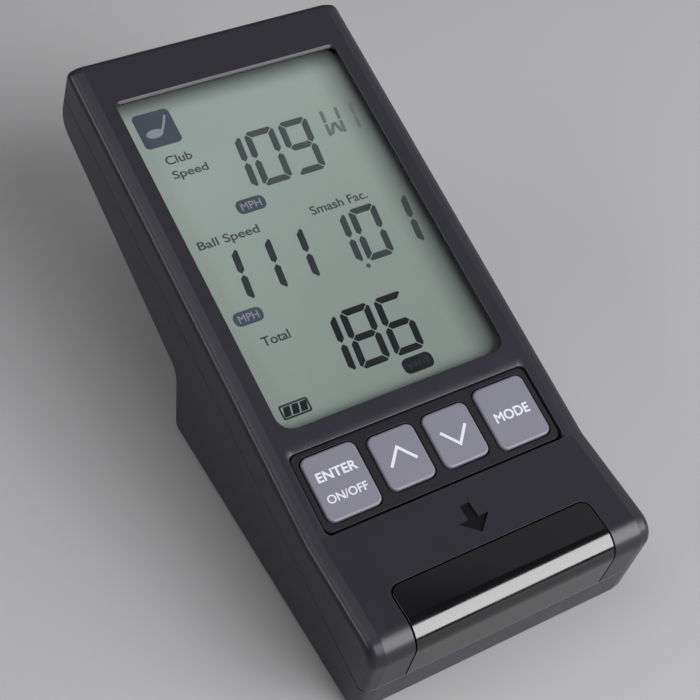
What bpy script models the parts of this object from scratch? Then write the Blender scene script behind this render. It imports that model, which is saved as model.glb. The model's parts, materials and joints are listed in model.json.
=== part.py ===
"""Pocket golf launch monitor: a wedge-shaped radar speed meter with a segment display and four keys.

All sizes are millimetres and become metres when a mesh is made. Most pieces are drawn in the case
frame: x runs across the width, y up the display face and z out of it, with zero at mid width on the
fold between the display face and the lower deck. The foot's pieces are drawn in the foot frame, whose
z = 0 is the flat underside that the object stands on.
"""
import math

import bmesh
import bpy
from mathutils import Matrix, Vector

MM = 0.001

# Case outline, seen from the side
CASE_WIDTH = 65.0
FACE_TILT = 16.0          # display face to the ground, degrees
DECK_BEND = 12.5          # lower deck rises from the face plane, degrees
DECK_LENGTH = 25.8
FOLD_Y = -0.6
FACE_END = 113.2
FRONT_LEAN = 10.0         # front wall to the face normal, degrees
BACK_TAPER = 4.9          # slab back to the face plane, degrees
HEEL = (45.0, -40.6)
FOOT_TOP = (50.5, -24.3)
CORNER_RADII = (5.0, 1.5, 2.6, 6.0, 3.0, 3.0, 2.6)
RIM_RADIUS = 1.8
RIM_SLOPE = 10.0          # shallow outer band of the face rim, degrees
RIM_BAND = 1.7

# Shells
WALL = 2.0
GAP = 0.3
PARTING_Z = -9.0
OVERCUT = 1.0             # how far a cutter runs past what it opens
LEDGE = 0.01              # rise between two outlines that would otherwise share a height

# Display
WINDOW_WIDTH = 52.6
WINDOW_Y = (21.8, 101.7)
WINDOW_RADII = (3.5, 3.5, 1.3, 1.3)
WINDOW_LIP = 0.9          # shell thickness left round the opening, over the lens
WINDOW_CHAMFER = 0.25
LENS_THICKNESS = 0.6
LENS_BOTTOM = 20.2
LENS_MARGIN = 0.6         # how far the lens reaches past the glass at each side
LENS_RADIUS = 1.5
GLASS_THICKNESS = 1.0
GLASS_WIDTH = 55.2
GLASS_TOP = 102.9
GLASS_LEDGE = 18.9
REAR_GLASS_BOTTOM = 21.2
REFLECTOR_THICKNESS = 0.2
HOLDER_WIDTH = 58.8
HOLDER_Y = (17.3, 104.2)
HOLDER_RIM = 1.5
HOLDER_TOP = -3.6
ZEBRA_HALF_WIDTH = 24.5
ZEBRA_INSET = 0.2

# Keys
POCKET_WIDTH = 55.4
POCKET_Y = (-0.3, 17.2)
POCKET_DEPTH = 0.75
POCKET_STEP = 0.25        # depth at which the pocket's sloping edge ends
POCKET_SLOPE = (0.7, 1.6)  # reach of the sloping edge at the sides and at the top
POCKET_RADIUS = 1.6
KEY_Y = 8.8
KEY_TRAVEL = 0.5
KEY_TOP = -0.25
KEY_FLANGE = 0.6
CAP_FLANGE = 0.7
BEZEL_FLANGE = 1.0
BEZEL_REACH = (1.5, 0.9, 1.0)  # flange past the pocket at its sides, bottom and top
KEY_CHAMFER = 0.3
CONTACT_CLEARANCE = 0.35
MAT_THICKNESS = 0.95
MAT_START_Y = 0.6
MAT_RADIUS = 1.0
KEY_RADIUS = 1.7
CORE_SIZE = 6.4
CORE_CLEARANCE = 0.8
KEYS = (
    ("enter", -19.9, 12.1, 13.9),
    ("up", -6.3, 10.5, 12.0),
    ("down", 6.3, 10.5, 12.0),
    ("mode", 19.9, 12.1, 13.9),
)

# Main board
BOARD_TOP = -8.7
BOARD_THICKNESS = 1.2
BOARD_WIDTH = 56.6
BOARD_Y = (-6.6, 103.8)
COMPONENTS = (
    # name, centre x, centre y, width, height, depth, material
    ("processor", 0.0, 46.0, 10.0, 10.0, 1.4, "chip"),
    ("lcd_driver", 12.0, 30.0, 8.0, 8.0, 1.2, "chip"),
    ("crystal", -14.0, 46.0, 4.6, 11.0, 3.4, "steel"),
    ("power_inductor", -14.0, 66.0, 6.0, 6.0, 3.0, "chip"),
    ("radar_socket", 0.0, -4.2, 12.0, 3.6, 1.8, "frame_plastic"),
)
CAPACITOR_AT = (14.0, 66.0)
CAPACITOR_RADIUS = 2.5
CAPACITOR_DEPTH = 6.0

# Case screws: a post under the upper shell meets a socket in the lower one. The heights are the
# post's end and root, the socket's end, the thread's end, the head's seat and the screw's tip.
CASE_SCREWS = {
    "top": {
        "place": (24.0, 107.0), "post_radius": 2.4, "post_end": -14.0, "post_root": -1.0,
        "socket_radius": 3.1, "socket_end": -18.6, "thread_end": -5.5, "seat": -16.6, "tip": -7.0,
    },
    "front": {
        "place": (26.8, -18.0), "post_radius": 2.8, "post_end": -9.5, "post_root": 2.8,
        "socket_radius": 3.4, "socket_end": -21.5, "thread_end": -2.5, "seat": -17.5, "tip": -3.5,
    },
}
THREAD_RADIUS = 1.1
BORE_RADIUS = 1.2
COUNTERBORE_RADIUS = 2.3
COUNTERBORE_REACH = 13.0
CASE_SCREW = (0.8, 2.0, 1.5)   # shaft radius, head radius, head height

# Board screws
BOARD_SCREWS = {
    "board": {"place": (24.0, -3.6), "thread_end": -4.0, "tip": -5.0},
    "holder": {"place": (22.0, 97.0), "thread_end": -6.9, "tip": -7.2},
}
BOARD_POST_RADIUS = 2.2
BOARD_POST_ROOT = -0.6
BOARD_THREAD_RADIUS = 1.0
BOARD_HOLE_RADIUS = 1.1
BOARD_SCREW = (0.65, 1.6, 1.0)

SCREW_SIDES = 16
SCREW_POINT = 0.5         # length of a screw's tapered tip
SCREW_POINT_SHARE = 0.6   # tip radius over shaft radius
HEAD_SIDE_SHARE = 0.6     # upright part of a head over its height
HEAD_TOP_SHARE = 0.8      # radius of a head's end over its full radius

# Radar
RADAR_HALF_WIDTH = 22.9
RADAR_TOP_Y = -14.0
RADAR_CORNER = 2.2

# Radar parts, in the front wall's frame: y runs inward from the wall
ANTENNA_HALF_WIDTH = 22.6
ANTENNA_Z = (-21.0, -5.2)
CARRIER_Y = (2.6, 4.8)
CARRIER_MARGIN = 2.8
RADAR_BOARD_THICKNESS = 1.0
SHIELD_HALF_WIDTH = 15.0
SHIELD_Z = (-20.2, -10.6)
SHIELD_DEPTH = 2.2
FLEX_PATH = (
    (-20.3, -1.4), (-18.2, -1.6), (-16.6, -3.6), (-14.6, -8.4), (-11.6, -10.6), (-8.8, -11.1), (-6.4, -11.1),
)
FLEX_WIDTH = 9.0
FLEX_THICKNESS = 0.3

# Battery bay, in the foot frame
CELL_RADIUS = 5.2
CELL_PITCH = 10.9
CELL_LENGTH = 44.5
CELL_FIRST_Y = 11.8
CELL_HEIGHT = 7.85
CELL_CLEARANCE = 1.0
CELL_EDGE = 0.3
CELL_SHOULDER = 0.5
NIPPLE_RADIUS = 1.9
NIPPLE_HEIGHT = 1.0
CELL_COUNT = 4
SPRING_TURNS = 2.5
SPRING_STEPS = 30
SPRING_RADII = (3.4, 2.0)
SPRING_WIRE = 0.25
BAY_HALF_WIDTH = 25.4
BAY_Y = (6.0, 50.4)
BAY_CEILING = 13.6
TRAY_HALF_WIDTH = 28.5
TRAY_WALL = 1.2
TRAY_FLOOR = 1.0
TRAY_HEEL = ((52.0, 1.0), (54.0, 5.0))
TRAY_BACK = 54.2
COVER_HALF_WIDTH = 26.0
COVER_START_Y = 4.8
COVER_RECESS = 0.4
COVER_UPSTAND = 8.0
UPSTAND_MARGIN = 1.7      # from the bay to the opening behind the cover's upstand
TONGUE_WIDTH = 1.0
TONGUE_Y = (6.0, 48.0)
TONGUE_Z = (1.2, 1.9)
CONTACT_HALF_WIDTH = 4.4
CONTACT_Z = (3.2, 12.6)
CONTACT_THICKNESS = 0.4
TAB_HALF_WIDTH = 1.5
TAB_Z = (8.5, 9.1)
TAB_END = 28.7
LEAD_RADIUS = 0.45
LEAD_START_Z = 9.8
LEAD_BEND = ((-29.5, -2.4), (-29.2, -1.0), (-28.2, -0.2), (-26.8, 0.0))  # x, and height from its top
LEADS = (
    ("lead_negative", 0, 15.6, "black_wire"),
    ("lead_positive", CELL_COUNT - 1, 23.8, "red_wire"),
)

ROUND_SIDES = 20
CORNER_STEPS = 3
SMOOTH_ANGLE = 35.0
FAR = 100.0

COLOURS = {
    "housing": ((0.031, 0.030, 0.034), 0.55, 0.0),
    "radar_plastic": ((0.014, 0.014, 0.017), 0.2, 0.0),
    "key_plastic": ((0.19, 0.185, 0.23), 0.5, 0.0),
    "clear": ((0.8, 0.85, 0.83), 0.1, 0.0),
    "glass": ((0.45, 0.5, 0.46), 0.15, 0.0),
    "film": ((0.55, 0.58, 0.55), 0.4, 0.6),
    "frame_plastic": ((0.6, 0.6, 0.58), 0.6, 0.0),
    "rubber": ((0.05, 0.05, 0.05), 0.8, 0.0),
    "board": ((0.02, 0.16, 0.06), 0.45, 0.0),
    "chip": ((0.02, 0.02, 0.02), 0.5, 0.0),
    "steel": ((0.6, 0.6, 0.6), 0.3, 1.0),
    "cell_wrap": ((0.05, 0.09, 0.2), 0.35, 0.3),
    "flex": ((0.5, 0.25, 0.05), 0.4, 0.0),
    "red_wire": ((0.5, 0.02, 0.02), 0.5, 0.0),
    "black_wire": ((0.01, 0.01, 0.01), 0.5, 0.0),
}


# ---------------------------------------------------------------- outlines

def perpendicular(direction):
    """A plane direction turned a quarter turn to the left."""
    return Vector((-direction.y, direction.x))


def inset_corners(corners, inset):
    """The corners of a counter-clockwise outline moved inward by an equal distance from each side."""
    moved = []
    for index, corner in enumerate(corners):
        before = (corner - corners[index - 1]).normalized()
        after = (corners[(index + 1) % len(corners)] - corner).normalized()
        left = perpendicular(before)
        right = perpendicular(after)
        moved.append(corner + inset * (left + right) / (1.0 + left.dot(right)))
    return moved


def fillet(corner, before, after, radius, steps):
    """Points of the arc that rounds one corner between its neighbours."""
    incoming = (corner - before).normalized()
    outgoing = (after - corner).normalized()
    turn = math.atan2(incoming.cross(outgoing), incoming.dot(outgoing))
    start = corner - incoming * radius * math.tan(abs(turn) / 2)
    centre = start + perpendicular(incoming) * math.copysign(radius, turn)
    arm = start - centre
    return [centre + Matrix.Rotation(turn * step / steps, 2) @ arm for step in range(steps + 1)]


def round_outline(corners, radii, steps):
    """The outline with every corner replaced by an arc."""
    points = []
    for index, corner in enumerate(corners):
        after = corners[(index + 1) % len(corners)]
        points += fillet(corner, corners[index - 1], after, radii[index], steps)
    return points


def rounded_rectangle(width, low, high, radii, grow=0.0):
    """A rectangle about mid width from low to high, its radii given from the lower left corner round."""
    half = width / 2 + grow
    corners = [
        Vector((-half, low - grow)),
        Vector((half, low - grow)),
        Vector((half, high + grow)),
        Vector((-half, high + grow)),
    ]
    grown = [max(radius + grow, GAP) for radius in radii]
    return round_outline(corners, grown, CORNER_STEPS)


def ground_height(y, z):
    """Height above the ground of a point of the case's side view."""
    tilt = math.radians(FACE_TILT)
    lift = -(HEEL[0] * math.sin(tilt) + HEEL[1] * math.cos(tilt))
    return y * math.sin(tilt) + z * math.cos(tilt) + lift


def ground_reach(y, z):
    """Distance along the ground of a point of the case's side view, from the case frame's origin."""
    tilt = math.radians(FACE_TILT)
    return y * math.cos(tilt) - z * math.sin(tilt)


def front_top_corner():
    """The sharp corner where the deck and the front wall would meet."""
    bend = math.radians(DECK_BEND)
    return Vector((FOLD_Y - DECK_LENGTH * math.cos(bend), DECK_LENGTH * math.sin(bend)))


def case_corners():
    """Sharp corners of the side view, counter-clockwise, from the front top corner."""
    lean = math.radians(FRONT_LEAN)
    wall_down = Vector((-math.sin(lean), -math.cos(lean)))
    front_top = front_top_corner()
    fall = ground_height(*front_top) - ground_height(*(front_top + wall_down))
    front_bottom = front_top + wall_down * ground_height(*front_top) / fall
    back_rise = (FACE_END - FOOT_TOP[0]) * math.tan(math.radians(BACK_TAPER))
    clockwise = [
        front_top,
        Vector((FOLD_Y, 0.0)),
        Vector((FACE_END, 0.0)),
        Vector((FACE_END, FOOT_TOP[1] + back_rise)),
        Vector(FOOT_TOP),
        Vector(HEEL),
        front_bottom,
    ]
    return clockwise[::-1]


def cell_y(index):
    """Where a battery's axis lies along the foot."""
    return CELL_FIRST_Y + index * CELL_PITCH


def case_outline(inset):
    """The rounded side view moved inward by an inset."""
    corners = case_corners()
    moved = inset_corners(corners, inset)
    radii = []
    for index, radius in enumerate(CORNER_RADII[::-1]):
        incoming = corners[index] - corners[index - 1]
        outgoing = corners[(index + 1) % len(corners)] - corners[index]
        convex = incoming.cross(outgoing) > 0
        radii.append(radius - inset if convex else radius + inset)
    return round_outline(moved, radii, CORNER_STEPS)


# ---------------------------------------------------------------- meshes

def make_material(name):
    """One Principled material from the colour table, made once."""
    if name in bpy.data.materials:
        return bpy.data.materials[name]
    colour, roughness, metallic = COLOURS[name]
    material = bpy.data.materials.new(name)
    material.use_nodes = True
    shader = material.node_tree.nodes["Principled BSDF"]
    shader.inputs["Base Color"].default_value = (*colour, 1.0)
    shader.inputs["Roughness"].default_value = roughness
    shader.inputs["Metallic"].default_value = metallic
    material.diffuse_color = (*colour, 1.0)
    return material


def place(name, data, frame, material, origin=(0.0, 0.0, 0.0)):
    """Put a mesh or a curve into the scene under a frame."""
    item = bpy.data.objects.new(name, data)
    bpy.context.scene.collection.objects.link(item)
    item.parent = frame
    item.location = Vector(origin) * MM
    if material is None:
        item.hide_render = True
        item.display_type = "WIRE"
    else:
        data.materials.append(make_material(material))
    return item


def loft(name, loops, frame, material=None, origin=(0.0, 0.0, 0.0)):
    """A closed solid through loops of equal count, with a flat cap at each end."""
    shape = bmesh.new()
    rings = []
    for loop in loops:
        rings.append([shape.verts.new(Vector(point) * MM) for point in loop])
    for lower, upper in zip(rings, rings[1:]):
        for index in range(len(lower)):
            after = (index + 1) % len(lower)
            shape.faces.new((lower[index], lower[after], upper[after], upper[index]))
    shape.faces.new(rings[0])
    shape.faces.new(rings[-1])
    bmesh.ops.recalc_face_normals(shape, faces=shape.faces)
    mesh = bpy.data.meshes.new(name)
    shape.to_mesh(mesh)
    shape.free()
    mesh.shade_smooth()
    mesh.set_sharp_from_angle(angle=math.radians(SMOOTH_ANGLE))
    return place(name, mesh, frame, material, origin)


def plate(name, levels, frame, material=None, origin=(0.0, 0.0, 0.0)):
    """A solid from flat outlines, each (outline, height), stacked along z."""
    loops = [[(point[0], point[1], height) for point in outline] for outline, height in levels]
    return loft(name, loops, frame, material, origin)


def side_prism(name, outline, half_width, frame, material=None):
    """A side view drawn out to both sides of mid width."""
    loops = [[(side, point[0], point[1]) for point in outline] for side in (-half_width, half_width)]
    return loft(name, loops, frame, material)


def box(name, low, high, frame, material=None, origin=(0.0, 0.0, 0.0)):
    """A box between two opposite corners."""
    outline = [(low[0], low[1]), (high[0], low[1]), (high[0], high[1]), (low[0], high[1])]
    return plate(name, [(outline, low[2]), (outline, high[2])], frame, material, origin)


def turned(name, centre, profile, frame, material=None, axis="z", sides=ROUND_SIDES):
    """A turned solid: profile pairs of (position, radius) along z or x through a centre."""
    loops = []
    for position, radius in profile:
        ring = []
        for step in range(sides):
            angle = math.tau * step / sides
            across = radius * math.cos(angle)
            up = radius * math.sin(angle)
            if axis == "z":
                ring.append((centre[0] + across, centre[1] + up, position))
            else:
                ring.append((position, centre[0] + across, centre[1] + up))
        loops.append(ring)
    return loft(name, loops, frame, material)


def wire(name, points, radius, frame, material):
    """A round wire along points, with closed ends."""
    curve = bpy.data.curves.new(name, "CURVE")
    curve.dimensions = "3D"
    spline = curve.splines.new("POLY")
    spline.points.add(len(points) - 1)
    for target, point in zip(spline.points, points):
        target.co = (*(Vector(point) * MM), 1.0)
    curve.bevel_depth = radius * MM
    curve.bevel_resolution = 1
    curve.use_fill_caps = True
    return place(name, curve, frame, material)


def combine(target, other, operation):
    """Apply one exact Boolean to a solid."""
    modifier = target.modifiers.new(other.name, "BOOLEAN")
    modifier.operation = operation
    modifier.solver = "EXACT"
    modifier.object = other


def cut(target, *cutters):
    """Take cutters away from a solid."""
    for cutter in cutters:
        combine(target, cutter, "DIFFERENCE")


def add(target, *others):
    """Join helper solids onto a solid."""
    for other in others:
        combine(target, other, "UNION")


# ---------------------------------------------------------------- frames

def make_frame(name, location, tilt=0.0, parent=None):
    """An empty that carries pieces."""
    frame = bpy.data.objects.new(name, None)
    bpy.context.scene.collection.objects.link(frame)
    frame.parent = parent
    frame.location = Vector(location) * MM
    frame.rotation_euler = (math.radians(tilt), 0.0, 0.0)
    return frame


def make_frames():
    """The case frame, the foot frame and the front wall's frame; the object's box is centred on zero."""
    reach = [ground_reach(*point) for point in case_outline(0.0)]
    middle = (min(reach) + max(reach)) / 2
    case = make_frame("case_frame", (0.0, -middle, ground_height(0.0, 0.0)), FACE_TILT)
    foot = make_frame("foot_frame", (0.0, -middle, 0.0))
    corner = front_top_corner()
    front = make_frame("front_frame", (0.0, corner.x, corner.y), -FRONT_LEAN, case)
    return case, foot, front


# ---------------------------------------------------------------- shells

def rim_sections():
    """Half widths and insets from a side wall up over the rounded rim to the flat face."""
    half = CASE_WIDTH / 2
    slope = math.radians(RIM_SLOPE)
    drop = RIM_BAND * math.tan(slope)
    sections = []
    for step in range(CORNER_STEPS + 1):
        angle = (math.pi / 2 - slope) * step / CORNER_STEPS
        width = half - RIM_RADIUS + RIM_RADIUS * math.cos(angle)
        inset = drop + RIM_RADIUS * (math.cos(slope) - math.sin(angle))
        sections.append((width, inset))
    sections.append((half - RIM_RADIUS * (1 - math.sin(slope)) - RIM_BAND, 0.0))
    return sections


def case_solid(name, frame, extra=0.0, material=None):
    """The whole case as one solid with its rounded rim."""
    sections = rim_sections()
    stations = [(-width, inset) for width, inset in sections]
    stations += [(width, inset) for width, inset in reversed(sections)]
    loops = []
    for side, inset in stations:
        loops.append([(side, point.x, point.y) for point in case_outline(inset + extra)])
    return loft(name, loops, frame, material)


def radar_plan(clearance):
    """Plan outline of the radar window, open past the front wall."""
    bottom = -CASE_WIDTH
    radii = (RADAR_CORNER,) * 4
    return rounded_rectangle(2 * RADAR_HALF_WIDTH, bottom, RADAR_TOP_Y, radii, clearance)


def radar_prism(name, clearance, frame):
    """The volume that the radar window takes out of the upper shell."""
    outline = radar_plan(clearance)
    return plate(name, [(outline, PARTING_Z - FAR), (outline, FAR)], frame)


def pocket_outline(grow_side, grow_top):
    """The key pocket's outline, grown at its sides and its top edge only."""
    radii = (POCKET_RADIUS,) * 4
    width = POCKET_WIDTH + 2 * grow_side
    return rounded_rectangle(width, POCKET_Y[0], POCKET_Y[1] + grow_top, radii)


def lens_outline(clearance):
    """Outline of the display lens; the seat for it also clears the glass under the lens."""
    low = LENS_BOTTOM if clearance == 0.0 else GLASS_LEDGE
    width = GLASS_WIDTH + 2 * LENS_MARGIN
    return rounded_rectangle(width, low, GLASS_TOP, (LENS_RADIUS,) * 4, clearance)


def side_word(side):
    """The word for one side, given as -1 or 1."""
    return "left" if side < 0 else "right"


def pair(name, centre, radius, low, high, frame):
    """Two round posts, one on each side."""
    posts = []
    for side in (-1, 1):
        profile = [(low, radius), (high, radius)]
        posts.append(turned(f"{name}_{side_word(side)}", (side * centre[0], centre[1]), profile, frame))
    return posts


def display_cutters(case):
    """The window through the face and the wider seat under it."""
    window = rounded_rectangle(WINDOW_WIDTH, *WINDOW_Y, WINDOW_RADII)
    grown = rounded_rectangle(WINDOW_WIDTH, *WINDOW_Y, WINDOW_RADII, 2 * WINDOW_CHAMFER)
    window_cut = plate("window_cut", [
        (window, -WALL - OVERCUT),
        (window, -WINDOW_CHAMFER),
        (grown, WINDOW_CHAMFER),
    ], case)
    seat = lens_outline(GAP)
    seat_cut = plate("lens_seat", [(seat, -WALL - OVERCUT), (seat, -WINDOW_LIP)], case)
    return window_cut, seat_cut


def pocket_cutters(case):
    """The key pocket's sloping edge and step, and the opening for the bezel."""
    opening = pocket_outline(0.0, 0.0)
    doubled = (2 * reach for reach in POCKET_SLOPE)
    slope_cut = plate("pocket_slope", [
        (opening, -POCKET_DEPTH),
        (opening, -POCKET_STEP),
        (pocket_outline(*POCKET_SLOPE), 0.0),
        (pocket_outline(*doubled), POCKET_STEP),
    ], case)
    overlap = -POCKET_DEPTH + POCKET_STEP / 2
    pocket_cut = plate("pocket_cut", [(opening, -WALL - OVERCUT), (opening, overlap)], case)
    return slope_cut, pocket_cut


def build_front_housing(case):
    """Upper shell: display opening, key pocket, radar opening and its screw posts."""
    front = case_solid("front_housing", case, 0.0, "housing")
    cavity = side_prism("front_cavity", case_outline(WALL), CASE_WIDTH / 2 - WALL, case)
    below = PARTING_Z + GAP / 2
    lower_half = box("front_below", (-FAR, -FAR, -FAR), (FAR, 2 * FAR, below), case)
    cut(front, cavity, lower_half)
    board_place = BOARD_SCREWS["board"]["place"]
    board_end = BOARD_TOP + GAP
    for name, screw in CASE_SCREWS.items():
        add(front, *pair(f"{name}_post", screw["place"], screw["post_radius"], screw["post_end"],
                         screw["post_root"], case))
    add(front, *pair("board_post", board_place, BOARD_POST_RADIUS, board_end, BOARD_POST_ROOT, case))
    cut(front, *display_cutters(case), *pocket_cutters(case), radar_prism("radar_cut", GAP / 2, case))
    for name, screw in CASE_SCREWS.items():
        cut(front, *pair(f"{name}_thread", screw["place"], THREAD_RADIUS, screw["post_end"] - OVERCUT,
                         screw["thread_end"], case))
    cut(front, *pair("board_thread", board_place, BOARD_THREAD_RADIUS, board_end - OVERCUT,
                     BOARD_SCREWS["board"]["thread_end"], case))


def tray_outline():
    """Side view of the solid block that the battery bay is hollowed from."""
    top = BAY_CEILING + TRAY_WALL
    front = COVER_START_Y - TRAY_WALL
    return [(front, TRAY_FLOOR), *TRAY_HEEL, (TRAY_BACK, top), (front, top)]


def bay_cutters(foot):
    """The battery bay, the cover's seat, the opening for its upstand and the slot for its tongues."""
    door = COVER_HALF_WIDTH + GAP
    slot = door + TONGUE_WIDTH
    slot_top = TONGUE_Z[1] + GAP
    grip_y = BAY_Y[1] + UPSTAND_MARGIN
    return (
        box("bay_cut", (-BAY_HALF_WIDTH, BAY_Y[0], -OVERCUT), (BAY_HALF_WIDTH, BAY_Y[1], BAY_CEILING), foot),
        box("door_cut", (-door, COVER_START_Y - GAP, -OVERCUT), (door, FAR, WALL + GAP), foot),
        box("grip_cut", (-door, grip_y, -OVERCUT), (door, FAR, COVER_UPSTAND + GAP), foot),
        box("slot_cut", (-slot, TONGUE_Y[0] - 2 * GAP, TONGUE_Z[0] - GAP), (slot, FAR, slot_top), foot),
    )


def tab_cutter(name, y, foot):
    """The slot that an end contact's tab passes through."""
    reach = TAB_HALF_WIDTH + GAP
    low = (-TRAY_HALF_WIDTH - OVERCUT, y - reach, TAB_Z[0] - GAP)
    high = (-BAY_HALF_WIDTH + OVERCUT, y + reach, TAB_Z[1] + GAP)
    return box(f"{name}_tab_slot", low, high, foot)


def build_rear_housing(case, foot):
    """Lower shell: slab back, foot with the battery tray, screw sockets with counterbores."""
    rear = case_solid("rear_housing", case, 0.0, "housing")
    cavity = side_prism("rear_cavity", case_outline(WALL), CASE_WIDTH / 2 - WALL, case)
    above = PARTING_Z - GAP / 2
    upper_half = box("rear_above", (-FAR, -FAR, above), (FAR, 2 * FAR, FAR), case)
    cut(rear, cavity, upper_half)
    add(rear, side_prism("tray_block", tray_outline(), TRAY_HALF_WIDTH, foot))
    for name, screw in CASE_SCREWS.items():
        add(rear, *pair(f"{name}_socket", screw["place"], screw["socket_radius"], screw["socket_end"],
                        screw["post_end"] - GAP, case))
    cut(rear, *bay_cutters(foot))
    for name, screw in CASE_SCREWS.items():
        seat = screw["seat"]
        cut(rear, *pair(f"{name}_bore", screw["place"], BORE_RADIUS, seat - OVERCUT, screw["post_end"], case))
        cut(rear, *pair(f"{name}_counterbore", screw["place"], COUNTERBORE_RADIUS, seat - COUNTERBORE_REACH,
                        seat, case))
    for name, index in (("negative", 0), ("positive", CELL_COUNT - 1)):
        cut(rear, tab_cutter(name, cell_y(index), foot))


def build_radar_window(case):
    """The dark window: the shell's own curve over the deck, the front edge and the front wall."""
    window = case_solid("radar_window", case, 0.0, "radar_plastic")
    cavity = side_prism("window_cavity", case_outline(WALL), CASE_WIDTH / 2 - WALL, case)
    below = PARTING_Z + GAP / 2
    lower_half = box("window_below", (-FAR, -FAR, -FAR), (FAR, 2 * FAR, below), case)
    prism = radar_prism("window_keep", -GAP / 2, case)
    cut(window, cavity, lower_half)
    combine(window, prism, "INTERSECT")


def build_battery_cover(case, foot):
    """The sliding cover: a plate with an upstand at the heel and a tongue along each side."""
    cover = case_solid("battery_cover", case, COVER_RECESS, "housing")
    cavity = side_prism("cover_cavity", case_outline(WALL), FAR, case)
    low = (-COVER_HALF_WIDTH, COVER_START_Y, -OVERCUT)
    keep = box("cover_keep", low, (COVER_HALF_WIDTH, FAR, COVER_UPSTAND), foot)
    cut(cover, cavity)
    combine(cover, keep, "INTERSECT")
    for side in (-1, 1):
        ends = sorted((side * (COVER_HALF_WIDTH - TONGUE_WIDTH), side * (COVER_HALF_WIDTH + TONGUE_WIDTH)))
        low = (ends[0], TONGUE_Y[0], TONGUE_Z[0])
        high = (ends[1], TONGUE_Y[1], TONGUE_Z[1])
        add(cover, box(f"cover_tongue_{side_word(side)}", low, high, foot))


# ---------------------------------------------------------------- display

def build_display(case):
    """Lens, the two glasses, reflector, holder and the elastomer connector."""
    lens_top = -WINDOW_LIP - GAP
    lens = lens_outline(0.0)
    plate("display_lens", [(lens, lens_top - LENS_THICKNESS), (lens, lens_top)], case, "clear")
    top = lens_top - LENS_THICKNESS - GAP
    half = GLASS_WIDTH / 2
    layers = (
        ("lcd_front_glass", GLASS_LEDGE, GLASS_THICKNESS, "glass"),
        ("lcd_rear_glass", REAR_GLASS_BOTTOM, GLASS_THICKNESS, "glass"),
        ("lcd_reflector", REAR_GLASS_BOTTOM, REFLECTOR_THICKNESS, "film"),
    )
    ledge_under = top - GLASS_THICKNESS
    for name, bottom_y, thickness, material in layers:
        box(name, (-half, bottom_y, top - thickness), (half, GLASS_TOP, top), case, material)
        top -= thickness + GAP
    zebra_low = (-ZEBRA_HALF_WIDTH, GLASS_LEDGE + ZEBRA_INSET, BOARD_TOP + GAP)
    zebra_high = (ZEBRA_HALF_WIDTH, REAR_GLASS_BOTTOM - GAP, ledge_under - GAP)
    box("zebra_strip", zebra_low, zebra_high, case, "rubber")
    build_lcd_holder(case, top, zebra_low, zebra_high)


def build_lcd_holder(case, floor_top, zebra_low, zebra_high):
    """A tray that carries the glasses, slotted for the connector, screwed to the board."""
    half = HOLDER_WIDTH / 2
    low = (-half, HOLDER_Y[0], BOARD_TOP + GAP)
    holder = box("lcd_holder", low, (half, HOLDER_Y[1], HOLDER_TOP), case, "frame_plastic")
    inner = half - HOLDER_RIM
    low = (-inner, GLASS_LEDGE - GAP, floor_top)
    hollow = box("holder_hollow", low, (inner, GLASS_TOP + GAP, 0.0), case)
    low = (zebra_low[0] - GAP, zebra_low[1] - GAP, BOARD_TOP - OVERCUT)
    slot = box("connector_slot", low, (zebra_high[0] + GAP, zebra_high[1] + GAP, 0.0), case)
    screw = BOARD_SCREWS["holder"]
    threads = pair("holder_thread", screw["place"], BOARD_THREAD_RADIUS, BOARD_TOP - OVERCUT,
                   screw["thread_end"], case)
    cut(holder, hollow, slot, *threads)


# ---------------------------------------------------------------- keys

def key_outline(width, height, grow):
    """A key's rounded outline about its own centre."""
    return rounded_rectangle(width, -height / 2, height / 2, (KEY_RADIUS,) * 4, grow)


def build_keys(case):
    """Bezel, caps, rubber cores and the rubber mat."""
    flange_top = -WALL - GAP
    flange_bottom = flange_top - BEZEL_FLANGE
    build_bezel(case, flange_top, flange_bottom)
    cap_flange = flange_bottom - GAP
    cap_bottom = cap_flange - CAP_FLANGE
    core_bottom = BOARD_TOP + CONTACT_CLEARANCE + KEY_TRAVEL
    mat_top = BOARD_TOP + GAP + MAT_THICKNESS
    mat_outline = rounded_rectangle(POCKET_WIDTH, MAT_START_Y, HOLDER_Y[0] - GAP, (MAT_RADIUS,) * 4)
    mat_levels = [(mat_outline, BOARD_TOP + GAP), (mat_outline, mat_top)]
    mat = plate("keypad_mat", mat_levels, case, "rubber")
    for name, x, width, height in KEYS:
        origin = (x, KEY_Y, 0.0)
        body = key_outline(width, height, 0.0)
        wide = key_outline(width, height, KEY_FLANGE)
        crown = key_outline(width, height, -KEY_CHAMFER)
        levels = [(wide, cap_bottom), (wide, cap_flange), (body, cap_flange + LEDGE)]
        levels += [(body, KEY_TOP - KEY_CHAMFER), (crown, KEY_TOP)]
        plate(f"{name}_button", levels, case, "key_plastic", origin)
        core = key_outline(CORE_SIZE, CORE_SIZE, 0.0)
        levels = [(core, core_bottom), (core, cap_bottom - GAP)]
        plate(f"{name}_core", levels, case, "rubber", origin)
        hole = key_outline(CORE_SIZE, CORE_SIZE, CORE_CLEARANCE)
        cut(mat, plate(f"{name}_mat_hole", [(hole, -FAR), (hole, 0.0)], case, None, origin))


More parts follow.
